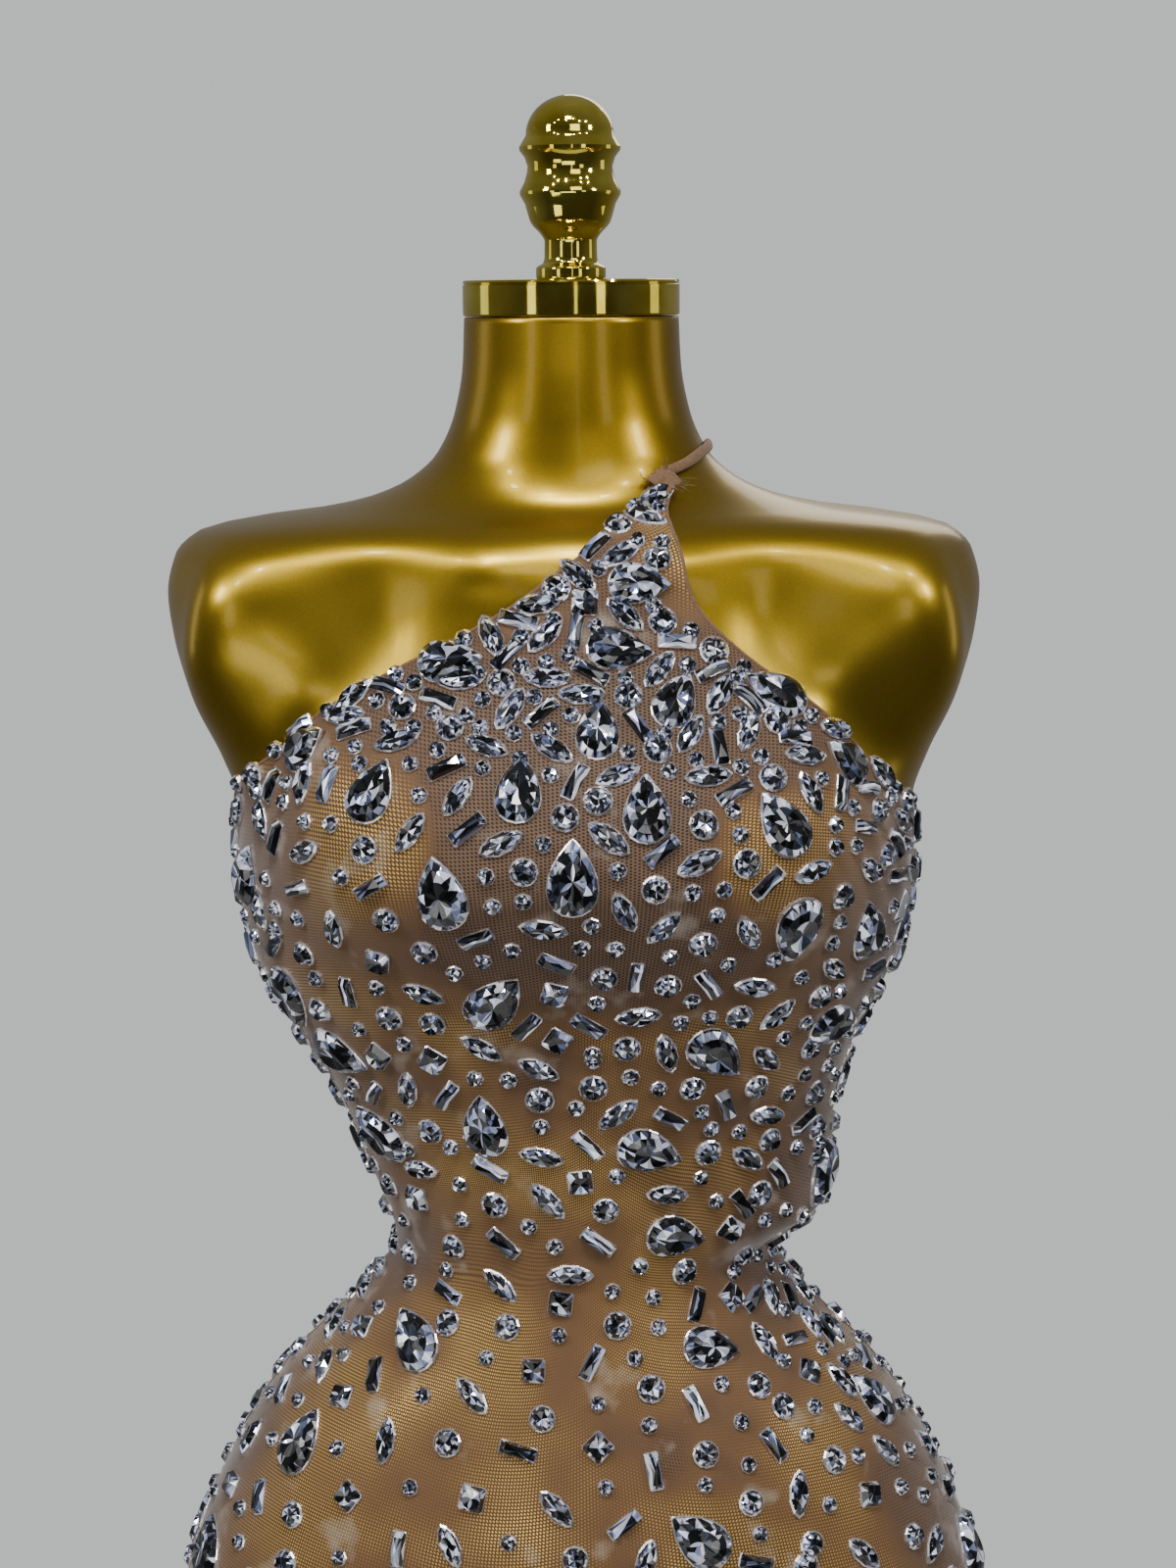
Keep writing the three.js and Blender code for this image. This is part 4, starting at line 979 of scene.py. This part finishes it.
# the large stones of the front; a tilt of 90 points the tip towards larger angles
pearSpots = (  # angle, drop, tilt and size
    (17.5, 125.5, 92, 0.82), (11, 154, 98, 0.9), (-28.5, 158.5, 83, 0.87), (-53, 198, 53, 0.9),
    (22, 176, 27, 0.85), (5, 188, 3, 0.9), (-36, 214, 20, 0.95), (-10.5, 212.5, 4, 0.95),
    (13, 221, 1, 0.97), (42, 174.5, -56, 0.95), (-23, 256.5, -10, 1), (-0.5, 249.5, 1, 1),
    (35.5, 229, -30, 1), (52, 206, -49, 0.9), (39.5, 276.5, 182, 1), (58.5, 286, -23, 1),
    (-68.5, 262, 30, 1), (-64.5, 318, 179, 1), (-57.5, 344, 108, 1), (-17.5, 310, 40, 1),
    (32, 338.5, 133, 1), (59, 331.5, 85, 1), (-56.5, 386, -48, 1), (-24.5, 374, -3, 1),
    (19, 386.5, 109, 0.93), (74.5, 415, -150, 1), (29, 431.5, 103, 0.93), (-49, 486.5, -46, 1),
    (-65, 539.5, 11, 1), (37.5, 487.5, 105, 0.92), (74, 528.5, -25, 1), (-77.5, 603.5, -20, 1),
    (26.5, 569, -49, 1), (81.5, 611, 5, 1),
)


largeRows = (  # drops, stones a row, from angle, to angle
    ((668, 732, 796), 4, -88, 88),
    ((556, 622, 688, 748, 808), 3, 105, 255),
    ((300,), 5, 108, 252),
)
stoneRounds = (  # kinds to pick from, tries, millimetres added to the gap
    (("navette",), 3000, 4.5),
    (("baguette",), 4000, 3.5),
    (("navette", "round", "round", "square"), 6000, 2.2),
    (("round", "baguette"), 6000, 1.2),
    (("bead",), 22000, 0.0),
)


def pearRows(drops, perRow, fromAngle, toAngle):
    spots = []
    for row, drop in enumerate(drops):
        for i in range(perRow):
            stagger = 0.3 if row % 2 else 0.7
            wander = 14 * math.sin(2.4 * i + 1.7 * row)  # up and down, so that the rows don't show
            tilt = (137 * (i + 1) + 61 * row) % 360
            spots.append((fromAngle + (toAngle - fromAngle) * (i + stagger) / perRow, drop + wander, tilt, 1))
    return spots


# Small stones of the front, set out as they are seen from the camera. Each patch is a
# square of the 1200 x 1600 frame: its left and top, and how many steps across one frame pixel is.
# Its stones are given in those steps as x, y and, unless it is 0, the tilt: 0 stands upright and
# 90 lies to the right.
stonePatches = (
    (150, 650, 5.227, {
        "navette": ((1057, 425, 80), (1095, 325, 50), (1330, 560, 75), (845, 1145, 68), (845, 780, 9),
                    (1405, 1045, 36), (1003, 1545, 168), (500, 920, 5), (622, 970, 172), (615, 1450, 172)),
        "baguette": ((1100, 500, 70), (820, 490, 47), (970, 790, 15), (675, 795, 18), (695, 1075, 17),
                     (810, 1335, 75), (1190, 1330, 60), (1280, 270, 106), (1552, 335, 112), (1594, 705, 65)),
        "round": ((1360, 380), (1160, 1135), (1275, 1500), (575, 740)),
        "bead": ((1330, 205), (1425, 250), (1222, 350), (965, 400), (1280, 487),
                 (1425, 490), (1115, 593), (990, 640), (1135, 685), (1400, 685),
                 (685, 605), (755, 785), (738, 885), (850, 988), (985, 1000),
                 (1447, 852), (1040, 1275), (645, 1285), (815, 1490), (1525, 415),
                 (1545, 610), (700, 1545), (490, 775), (595, 825)),
    }),
    (450, 480, 5.227, {
        "navette": ((1150, 145, 65), (1095, 270, 105), (965, 455, 65), (730, 565, 133), (510, 718, 80),
                    (265, 895, 155), (555, 885, 42), (985, 775, 134), (565, 1110, 92), (750, 1200, 90),
                    (1165, 1068, 39), (365, 1280, 35), (240, 1480, 107), (590, 1490, 127),
                    (1335, 1415, 31), (1490, 1200, 28), (100, 1120, 88)),
        "baguette": ((825, 415, 46), (410, 805, 105), (350, 985, 41), (718, 855, 10), (1265, 920, 98),
                     (800, 1085, 114), (535, 1300, 52), (1052, 1368, 147), (1455, 1075, 65),
                     (1485, 1480, 172)),
        "square": ((768, 712, 2),),
        "round": ((948, 310), (1160, 480), (612, 635), (1185, 810), (320, 1140),
                  (1000, 1210), (1455, 968), (1160, 1500), (45, 1380)),
        "bead": ((1055, 388), (1180, 398), (845, 530), (1140, 730), (1340, 862),
                 (600, 800), (425, 895), (828, 840), (680, 990), (425, 1050), (560, 1030),
                 (985, 1115), (1320, 1045), (120, 905), (195, 1085), (220, 1228),
                 (495, 1215), (135, 1315), (692, 1315), (585, 1390), (210, 1380),
                 (390, 1410), (1195, 1415), (1480, 1345), (1000, 1510), (420, 1550),
                 (1360, 1550), (1040, 210), (1160, 215)),
    }),
    (150, 950, 5.227, {
        "navette": ((1470, 325, 107), (1390, 835), (1465, 1262, 98)),
        "baguette": ((685, 60, 20), (1075, 315, 160), (1215, 850, 20)),
        "square": ((1232, 148, 177), (1232, 655, 35), (1520, 680, 30), (1448, 1415, 170)),
        "round": ((845, 110), (925, 405), (1295, 450), (1480, 100), (1520, 485),
                  (1510, 1060), (1305, 1345)),
        "bead": ((908, 240), (1225, 290), (1135, 510), (1375, 590), (1103, 795),
                 (1335, 985), (1402, 1155), (1225, 1230), (1385, 1530)),
    }),
    (450, 780, 5.227, {
        "navette": ((85, 180, 38), (945, 65, 67), (1425, 70, 82), (320, 425, 63), (895, 400, 127),
                    (1380, 525, 64), (545, 870, 101), (980, 780, 150), (1190, 860, 48), (1055, 1335, 84),
                    (215, 1505, 122), (1205, 1530, 165)),
        "baguette": ((140, 350, 52), (715, 100, 30), (1180, 465, 50), (180, 920, 72), (1563, 152, 59),
                     (615, 1050, 107), (1040, 1125, 10), (1430, 1165, 142), (455, 1390, 45),
                     (790, 1385, 117)),
        "square": ((605, 1215, 20), (620, 1465, 35)),
        "round": ((838, 205), (660, 293), (1403, 328), (440, 575), (1147, 665),
                  (1398, 945), (870, 1130), (1213, 1170), (990, 1505)),
        "bead": ((218, 30), (583, 65), (1218, 45), (1322, 193), (545, 428), (1565, 255),
                 (238, 600), (945, 570), (1343, 680), (1510, 665), (275, 752), (438, 728),
                 (803, 850), (1475, 795), (378, 980), (748, 965), (930, 970), (1222, 1013),
                 (225, 1035), (1535, 1055), (70, 1100), (832, 1265), (1340, 1250),
                 (1435, 1338), (1278, 1368), (808, 1540)),
    }),
    (450, 1080, 5.227, {
        "navette": ((520, 50, 117), (945, 290, 50), (535, 520, 102), (570, 755, 141), (1205, 720, 93),
                    (320, 1210, 130), (690, 1152, 90)),
        "baguette": ((1225, 315, 120), (785, 460, 132), (262, 582, 120), (335, 980, 133), (838, 975, 129),
                     (1520, 240, 160), (1355, 1315, 12), (40, 1250, 127), (30, 190, 35)),
        "square": ((742, 655, 172), (638, 1305, 8)),
        "round": ((527, 213), (813, 150), (1340, 150), (1423, 493), (288, 775),
                  (878, 808), (70, 995), (940, 1428), (355, 1435), (1295, 1130),
                  (40, 1415)),
        "bead": ((180, 98), (360, 108), (812, 5), (1013, 93), (1160, 153), (720, 258),
                 (533, 358), (1388, 275), (1440, 368), (55, 465), (938, 622), (1387, 630),
                 (105, 665), (118, 850), (1470, 755), (468, 893), (608, 1000),
                 (1058, 1103), (40, 1122), (912, 1240), (1130, 1275), (1160, 1440),
                 (628, 1480)),
    }),
    (750, 640, 6.031, {
        "navette": ((430, 795, 98), (620, 630, 109), (85, 650, 20), (465, 1025, 152), (900, 900, 150),
                    (480, 1500, 62), (830, 1490, 130), (1020, 1190, 140)),
        "baguette": ((95, 455, 135), (375, 690, 94), (645, 1025, 3), (810, 990, 98), (790, 1230, 98),
                     (985, 1330, 152), (990, 1525, 80)),
        "round": ((255, 590), (235, 935), (875, 1130), (920, 1405), (75, 1455),
                  (1050, 1070)),
        "bead": ((55, 255), (15, 310), (30, 545), (465, 555), (395, 625), (160, 805),
                 (45, 870), (525, 940), (715, 1115), (610, 1220), (40, 1285), (605, 1355),
                 (735, 1345), (1035, 1330), (975, 990), (945, 1050)),
    }),
    (700, 900, 6.031, {
        "navette": ((390, 300, 154), (425, 630, 99), (560, 800, 45), (490, 1075, 129), (495, 1425, 93),
                    (910, 525, 125), (940, 1235, 62), (895, 1470, 170)),
        "baguette": ((503, 3, 45), (720, 1460, 42), (1150, 520, 60)),
        "round": ((330, 815), (955, 80), (820, 690), (760, 1005), (430, 1245),
                  (780, 1285), (790, 1500)),
        "bead": ((540, 460), (940, 230), (890, 360), (705, 570), (935, 655), (735, 850),
                 (595, 945), (718, 1168), (620, 1285), (860, 1115), (325, 1525),
                 (905, 1010)),
    }),
    (700, 1160, 5.058, {
        "navette": ((320, 105, 121), (400, 1065, 149), (425, 830, 162), (620, 960, 145), (570, 800, 143),
                    (740, 185, 10), (745, 1000, 140)),
        "baguette": ((475, 185, 149), (290, 340, 145), (335, 840, 34), (520, 840, 153), (690, 1010, 144),
                     (905, 1150, 155), (680, 95, 60), (560, 1050, 80)),
        "square": ((232, 470, 35), (225, 830, 30)),
        "round": ((380, 285), (297, 590), (430, 10)),
        "bead": ((510, 370), (402, 420), (230, 700), (560, 45), (675, 20), (485, 900),
                 (685, 1105), (850, 1145), (800, 1175), (985, 1175), (495, 1165),
                 (395, 590), (400, 680), (470, 700)),
    }),
    (180, 1250, 4.48, {
        "navette": ((680, 650, 18), (960, 990, 14), (960, 200, 170), (350, 980, 29), (880, 290, 15),
                    (735, 465, 35), (205, 1020, 15), (140, 1220, 20)),
        "baguette": ((910, 690, 17), (495, 760, 25), (385, 1245, 9), (1015, 1480, 6)),
        "square": ((865, 470, 25), (760, 790, 20), (788, 1240, 35), (262, 1190, 30)),
        "round": ((1018, 85), (533, 1325), (500, 1545), (570, 575)),
        "bead": ((1080, 270), (937, 385), (770, 605), (1128, 785), (613, 640),
                 (440, 780), (565, 810), (448, 985), (740, 1025), (250, 1035),
                 (1070, 1200), (295, 1450), (745, 1520), (780, 480)),
    }),
    (450, 1300, 5.227, {
        "navette": ((165, 655, 142), (615, 1255, 137), (45, 1450, 155), (1095, 1530, 15)),
        "baguette": ((805, 475, 27), (410, 945, 106), (1358, 695, 155), (1137, 1055, 170), (980, 1340, 52)),
        "square": ((493, 518), (838, 927, 45), (165, 1200, 12)),
        "round": ((540, 775), (1120, 615), (1415, 965), (30, 905), (715, 1520)),
        "bead": ((242, 453), (840, 697), (1033, 450), (1500, 593), (1110, 810),
                 (1412, 1128), (880, 1140), (358, 1435)),
    }),
    (720, 1340, 5.227, {
        "navette": ((715, 370, 136), (765, 565, 136), (495, 965, 6), (840, 1280, 131), (960, 740, 144),
                    (1210, 1230, 10), (1170, 715, 150), (1150, 490, 150)),
        "baguette": ((365, 710, 144), (275, 1330, 98)),
        "square": ((548, 320, 5), (875, 970, 168)),
        "round": ((280, 390), (417, 503), (680, 785), (248, 1013), (563, 1230),
                  (1275, 935), (1100, 1190), (530, 1350)),
        "bead": ((192, 585), (575, 505), (540, 655), (228, 810), (808, 765), (657, 1023),
                 (1030, 930), (1150, 975), (295, 1180), (1020, 500), (1125, 540),
                 (1075, 735), (1215, 680)),
    }),
)


def seenOnCloth(spots):
    # where the camera's line of sight through each spot of the frame first meets the cloth
    sensor = 36  # millimetres, along the frame's height
    nearest, farthest = 1100, 1500  # millimetres from the camera
    wide, high = camera["frame"]
    far = camera["lens"] / sensor * high
    turn = np.array(cameraTurn.to_3x3())
    across, up = (spots[:, 0] - wide / 2) / far, (high / 2 - spots[:, 1]) / far
    sight = np.stack([across, up, -np.ones(len(spots))], -1) @ turn.T
    steps = np.arange(nearest, farthest, 1.0)
    points = np.array(camera["place"]) / mm + sight[:, None, :] * steps[None, :, None]
    angle = np.degrees(np.arctan2(points[..., 0], -points[..., 1]))
    drop = capMiddle - points[..., 2]
    radius = bodyRadius(angle, drop, "cloth") + bulge(angle, drop) + cloth["lift"]
    inside = np.hypot(points[..., 0], points[..., 1]) < radius
    first = np.argmax(inside, axis=1)
    row = np.arange(len(spots))
    return angle[row, first], drop[row, first], inside.any(axis=1), points[row, first]


def handLaidStones():
    reach = 3  # frame pixels from a stone's middle to where its tilt is measured
    rows = []
    for left, top, steps, kinds in stonePatches:
        for kindName, stones in kinds.items():
            for x, y, *tilt in stones:
                rows.append((kindName, left + x / steps, top + y / steps, tilt[0] if tilt else 0))
    names = [row[0] for row in rows]
    spots = np.array([row[1:] for row in rows], float)
    turn = np.radians(spots[:, 2])
    way = np.stack([np.sin(turn), -np.cos(turn)], -1) * reach
    angle, drop, hit, middle = seenOnCloth(spots[:, :2])
    _, _, hitAhead, ahead = seenOnCloth(spots[:, :2] + way)
    _, _, hitBehind, behind = seenOnCloth(spots[:, :2] - way)
    normal = clothNormal(angle, drop)
    axis = np.where(hitAhead[:, None], ahead, middle) - np.where(hitBehind[:, None], behind, middle)
    axis -= normal * (axis * normal).sum(axis=1, keepdims=True)
    axis /= np.maximum(np.linalg.norm(axis, axis=1, keepdims=True), 1e-6)
    middle = clothPoint(angle, drop)
    return [(names[i], middle[i], axis[i], normal[i]) for i in np.nonzero(hit)[0]]


# cosine of how far the cloth faces away, the lowest drop in the middle, less at the sides, and their angle
handLaid = {"facing": 0.42, "downTo": 608, "higherAtSide": 40, "sides": 90}


def inHandLaidPart(angle, drop):
    # the stretch that faces the camera inside its frame, which the tables above cover
    normal, point = clothNormal(angle, drop), clothPoint(angle, drop)
    sight = np.array(camera["place"]) / mm - point
    facing = (normal * sight).sum(axis=-1) / np.linalg.norm(sight, axis=-1)
    folded = np.where(angle > 180, angle - 360, angle)
    lowest = handLaid["downTo"] - handLaid["higherAtSide"] * np.abs(folded) / handLaid["sides"]
    return (facing > handLaid["facing"]) & (drop < lowest) & (np.abs(folded) < handLaid["sides"])


def stoneFrames(angle, drop, tilt):
    # where a stone lies: its middle, the way its length runs and the cloth's normal
    middle, normal = clothPoint(angle, drop), clothNormal(angle, drop)
    up = np.array([0, 0, 1.0]) - normal * normal[..., 2:]
    up /= np.linalg.norm(up, axis=-1, keepdims=True)
    side = np.cross(up, normal)
    turn = np.radians(tilt)[..., None]
    return middle, up * np.cos(turn) + side * np.sin(turn), normal


def insideDress(angle, drop, margin):
    # margin is how far a stone's middle stays from a cut edge, in millimetres
    slant = 0.6  # the neckline slants, so less of the margin is kept upwards
    chest = 380  # above it the front's edges are the neckline's
    folded = np.where(angle > 180, angle - 360, angle)
    around = np.degrees(margin / np.maximum(40, bodyRadius(angle, drop, "cloth")))
    above = np.where(drop > chest, drop, drop - margin * slant)
    sewn = (drop < band["bottomRightSeam"]) | (drop > skirtBack["topSeam"])
    sewn = sewn | ((drop < band["bottomLeftSeam"]) & (folded > 0))
    free = (drop > band["topSeam"]) & sewn
    between = (frontRightEdge(above) + around < folded) & (folded < frontLeftEdge(above) - around)
    belowTip = drop > frontGrid["top"] + margin * slant
    onFront = (np.abs(folded) <= sideSeamAngle) & (free | between) & belowTip
    turn = evenTurn(angle % 360, drop)
    onBand = (bandTop(turn) + margin < drop) & (drop < bandBottom(turn) - margin)
    onSkirt = skirtBackTop(turn) + margin < drop
    onBack = (np.abs(folded) > sideSeamAngle) & (onBand | onSkirt)
    return (onFront | onBack) & (drop < hemDrop - margin)


gaps = {  # millimetres between stones: how much wider they get, and between which drops
    "least": 1.3, "bust": 2.2, "bustFrom": (120, 230), "skirt": 3.4, "skirtFrom": (430, 560),
    "leftSideShare": 0.5, "leftSideFrom": (48, 70), "leftSideEnds": (440, 480),
}


def stoneGap(angle, drop):
    # stones crowd towards the neckline and the side that is pulled in, and spread over the skirt
    folded = np.where(angle > 180, angle - 360, angle)
    gap = gaps["least"] + gaps["bust"] * ease(*gaps["bustFrom"], drop)
    gap = gap + gaps["skirt"] * ease(*gaps["skirtFrom"], drop)
    crowd = gaps["leftSideShare"] * ease(*gaps["leftSideFrom"], folded)
    return gap * (1 - crowd * (1 - ease(*gaps["leftSideEnds"], drop)))


def layStones():
    mostStones, nearby = 4000, 45  # no two stones touch from farther than nearby, in millimetres
    widestBody = 205  # fewer are tried where the body is narrower, so that they spread evenly
    placed = {name: [] for name in stoneKinds}
    spots, radii = np.zeros((mostStones, 3, 3)), np.zeros(mostStones)
    count = 0

    def keep(kindName, middle, axis, normal, size=1):
        nonlocal count
        kind = stoneKinds[kindName]
        reach = size * max(0, (kind["length"] - kind["width"]) / 2)
        spots[count] = middle + axis * np.array([[-reach], [0], [reach]])
        radii[count] = size * kind["width"] / 2
        placed[kindName].append((middle, axis, normal, size))
        count += 1

    large = list(pearSpots)
    for rows, perRow, low, high in largeRows:
        large += pearRows(rows, perRow, low, high)
    angle, drop, tilt, sizes = np.array(large, float).T
    for middle, axis, normal, size in zip(*stoneFrames(angle, drop, tilt), sizes):
        keep("pear", middle, axis, normal, size)
    for kindName, middle, axis, normal in handLaidStones():
        keep(kindName, middle, axis, normal)
    dice = np.random.default_rng(4332)
    for kinds, tries, extra in stoneRounds:
        angle = dice.uniform(-180, 180, tries)
        drop = dice.uniform(frontGrid["top"] + 2, hemDrop - 4, tries)
        tilt, choice = dice.uniform(0, 360, tries), dice.integers(0, len(kinds), tries)
        wide = np.array([stoneKinds[name]["width"] for name in kinds])[choice]
        keeps = dice.uniform(0, 1, tries) < bodyRadius(angle, drop, "cloth") / widestBody
        keeps &= insideDress(angle, drop, wide / 2 + 1.2) & ~inHandLaidPart(angle, drop)
        gap = stoneGap(angle, drop) + extra
        middles, axes, normals = stoneFrames(angle, drop, tilt)
        for i in np.nonzero(keeps)[0]:
            kind = stoneKinds[kinds[choice[i]]]
            reach = max(0, (kind["length"] - kind["width"]) / 2)
            ends = middles[i] + axes[i] * np.array([[-reach], [0], [reach]])
            near = np.nonzero(np.abs(spots[:count, 1] - middles[i]).max(axis=1) < nearby)[0]
            apart = np.linalg.norm(spots[near][:, :, None] - ends[None, None], axis=3).min(axis=(1, 2))
            if len(near) == 0 or (apart - radii[near]).min() > kind["width"] / 2 + gap[i]:
                keep(kinds[choice[i]], middles[i], axes[i], normals[i])
    return placed


# tones from black to white: painted reflections of the room in a stone's facets
shades = {
    "table": (0.03, 0.1, 0.3, 0.97, 0.55, 0.08),  # painted reflections: the table shows a few patches, dark, grey and white
    "crown": (0.1, 0.35, 0.5, 0.6, 0.8, 1.0),
    "tableFrom": 0.8,  # share of a stone's height
}
sizeSpread = 0.04


def stonePiece(kindName, placed, dice):
    points, faces, isRim = cutStone(kindName)
    kind = stoneKinds[kindName]
    centres = points[faces].mean(axis=1)
    turnOfFace = (np.arctan2(centres[:, 1], centres[:, 0]) / math.tau + 0.5) % 1
    onTable = centres[:, 2] > shades["tableFrom"] * kind["height"]
    corners = points[faces].reshape(-1, 3)[:, :2] / (kind["length"] / 2, kind["width"] / 2)
    allPoints, allFaces, paintedReflections, rims, numbers = [], [], [], [], []
    for number, (middle, axis, normal, size) in enumerate(placed):
        side = np.cross(normal, axis)
        base = middle + normal * cloth["lift"]
        size = size * (1 + dice.uniform(-sizeSpread, sizeSpread))
        turned = points[:, :1] * axis + points[:, 1:2] * side + points[:, 2:] * normal
        allPoints.append(base + size * turned)
        allFaces.append(faces + number * len(points))
        # painted reflections: each crown facet and each patch of the table gets its own tone
        crown = np.array([dice.choice(shades["crown"]) for _ in faces])
        table = list(shades["table"])
        dice.shuffle(table)
        sector = ((turnOfFace + dice.random()) * len(table)).astype(int) % len(table)
        paintedReflections.append(np.where(onTable, np.array(table)[sector], crown))
        rims.append(isRim)
        numbers.append(np.full(len(faces), dice.randrange(1, 4000)))
    piece = meshPiece(kindName + "_stones", np.concatenate(allPoints) * mm, np.concatenate(allFaces), False)
    dress(piece, {"square": squareCut, "baguette": streakCut}.get(kindName, brilliantCut))
    piece.data.materials.append(rimMetal)
    piece.data.polygons.foreach_set("material_index", np.concatenate(rims).astype(np.int32))
    tone = piece.data.attributes.new("tone", "FLOAT", "FACE")
    tone.data.foreach_set("value", np.concatenate(paintedReflections))
    stone = piece.data.attributes.new("stone", "FLOAT", "FACE")
    stone.data.foreach_set("value", np.concatenate(numbers).astype(float))
    layer = piece.data.uv_layers.new(name="cut")
    layer.uv.foreach_set("vector", np.tile(corners, (len(placed), 1)).reshape(-1))
    return piece


def makeStones():
    dice = random.Random(77)
    for kindName, placed in layStones().items():
        if placed:
            stonePiece(kindName, placed, dice)
            print(f"{kindName}: {len(placed)} stones")


makeStones()


def makeStage():
    stage = {"floorRadius": 0.74, "floorDrop": 0.0005, "floor": "#c9cac7", "wall": "#d0d3d2"}
    deselectAll()
    bpy.ops.mesh.primitive_circle_add(vertices=96, radius=stage["floorRadius"], fill_type="NGON",
                                      location=(0, 0, -stage["floorDrop"]))
    floor = bpy.context.object
    floor.name = "studio_floor"
    m = newMaterial("pale_floor")
    shader = node(m, "ShaderNodeBsdfPrincipled", {"Base Color": linear(stage["floor"]), "Roughness": 0.8})
    floor.data.materials.append(finishMaterial(m, shader))
    makeLamps()
    makeWorld(stage["wall"])
    print("stage made")


def lamp(name, spot, target, size, power):
    bpy.ops.object.light_add(type="AREA", location=spot)
    light = bpy.context.object
    light.name = name
    light.data.shape = "RECTANGLE"
    light.data.size, light.data.size_y = size
    light.data.energy = power
    light.rotation_euler = (Vector(target) - Vector(spot)).to_track_quat("-Z", "Y").to_euler()
    light.visible_camera = False


def makeLamps():
    lamps = {  # place, what it points at, width and height, watts
        "ceiling_softbox": ((-0.1, -1.3, 2.7), (0, 0, 0.9), (0.45, 0.3), 17),
        "left_softbox": ((-1.9, -1.1, 1.9), (0, 0, 0.85), (0.4, 0.5), 16),
        "right_softbox": ((1.9, -1.2, 1.8), (0, 0, 0.85), (0.3, 0.5), 13),
        "front_fill": ((-0.2, -2.6, 0.3), (0, 0, 0.7), (1.6, 0.8), 11),
        "back_softbox": ((0.6, 2.4, 1.9), (0, 0, 0.7), (1.4, 1.0), 8),
    }
    for name, values in lamps.items():
        lamp(name, *values)
    panels = {  # dim panels that the lacquer and the plating mirror: place, width and height, glow
        "high_panel": ((0.5, -1.9, 2.0), (0.9, 0.4), 3.2),
        "low_panel": ((-1.25, -1.8, 0.05), (0.8, 0.6), 2.6),
        "left_panel": ((-1.5, -1.7, 1.05), (0.35, 0.8), 2.0),
        "right_panel": ((1.15, -1.9, 1.1), (0.35, 0.7), 2.0),
        "narrow_panel": ((0.2, -2.3, 1.15), (0.12, 1.2), 1.4),
        "right_edge_panel": ((2.1, 0.3, 0.9), (0.5, 1.2), 1.0),
        "left_edge_panel": ((-2.1, 0.5, 1.0), (0.5, 1.2), 0.9),
    }
    for name, (spot, size, glow) in panels.items():
        lamp(name, spot, (0, 0, 0.85), size, glow * math.pi * size[0] * size[1])
    for i in range(6):  # small ceiling lights that spark on the stones
        lamp(f"downlight_{i}", (-1.5 + 0.6 * i, -1.5 + 0.25 * (i % 2), 2.5), (0, 0, 0.8), (0.07, 0.07), 5)


def makeWorld(wallColour):
    # the room is light behind and above and dim in front; the camera sees a plain wall
    room = {
        "lightWay": (0, 0.6, 0.5), "reach": 0.78, "strength": 0.7,
        "dim": (0.07, 0.07, 0.07), "light": (0.34, 0.34, 0.35), "dimUpTo": 0.2, "lightFrom": 0.9,
    }
    world = bpy.data.worlds.new("studio")
    world.use_nodes = True
    bpy.context.scene.world = world
    world.node_tree.nodes.clear()
    way = node(world, "ShaderNodeTexCoord").outputs["Generated"]
    behind = node(world, "ShaderNodeVectorMath", {0: way, 1: room["lightWay"]}, operation="DOT_PRODUCT")
    height = node(world, "ShaderNodeMapRange",
                  {0: behind.outputs["Value"], 1: -room["reach"], 2: room["reach"]})
    sky = node(world, "ShaderNodeValToRGB", {"Fac": height.outputs[0]})
    dimEnd, lightEnd = sky.color_ramp.elements[0], sky.color_ramp.elements[1]
    dimEnd.position, lightEnd.position = room["dimUpTo"], room["lightFrom"]
    dimEnd.color, lightEnd.color = (*room["dim"], 1), (*room["light"], 1)
    glow = node(world, "ShaderNodeBackground", {"Color": sky.outputs[0], "Strength": room["strength"]})
    wall = node(world, "ShaderNodeBackground", {"Color": linear(wallColour)})
    isCamera = node(world, "ShaderNodeLightPath").outputs["Is Camera Ray"]
    mix = node(world, "ShaderNodeMixShader", {0: isCamera, 1: glow.outputs[0], 2: wall.outputs[0]})
    node(world, "ShaderNodeOutputWorld", {0: mix.outputs[0]})


makeStage()
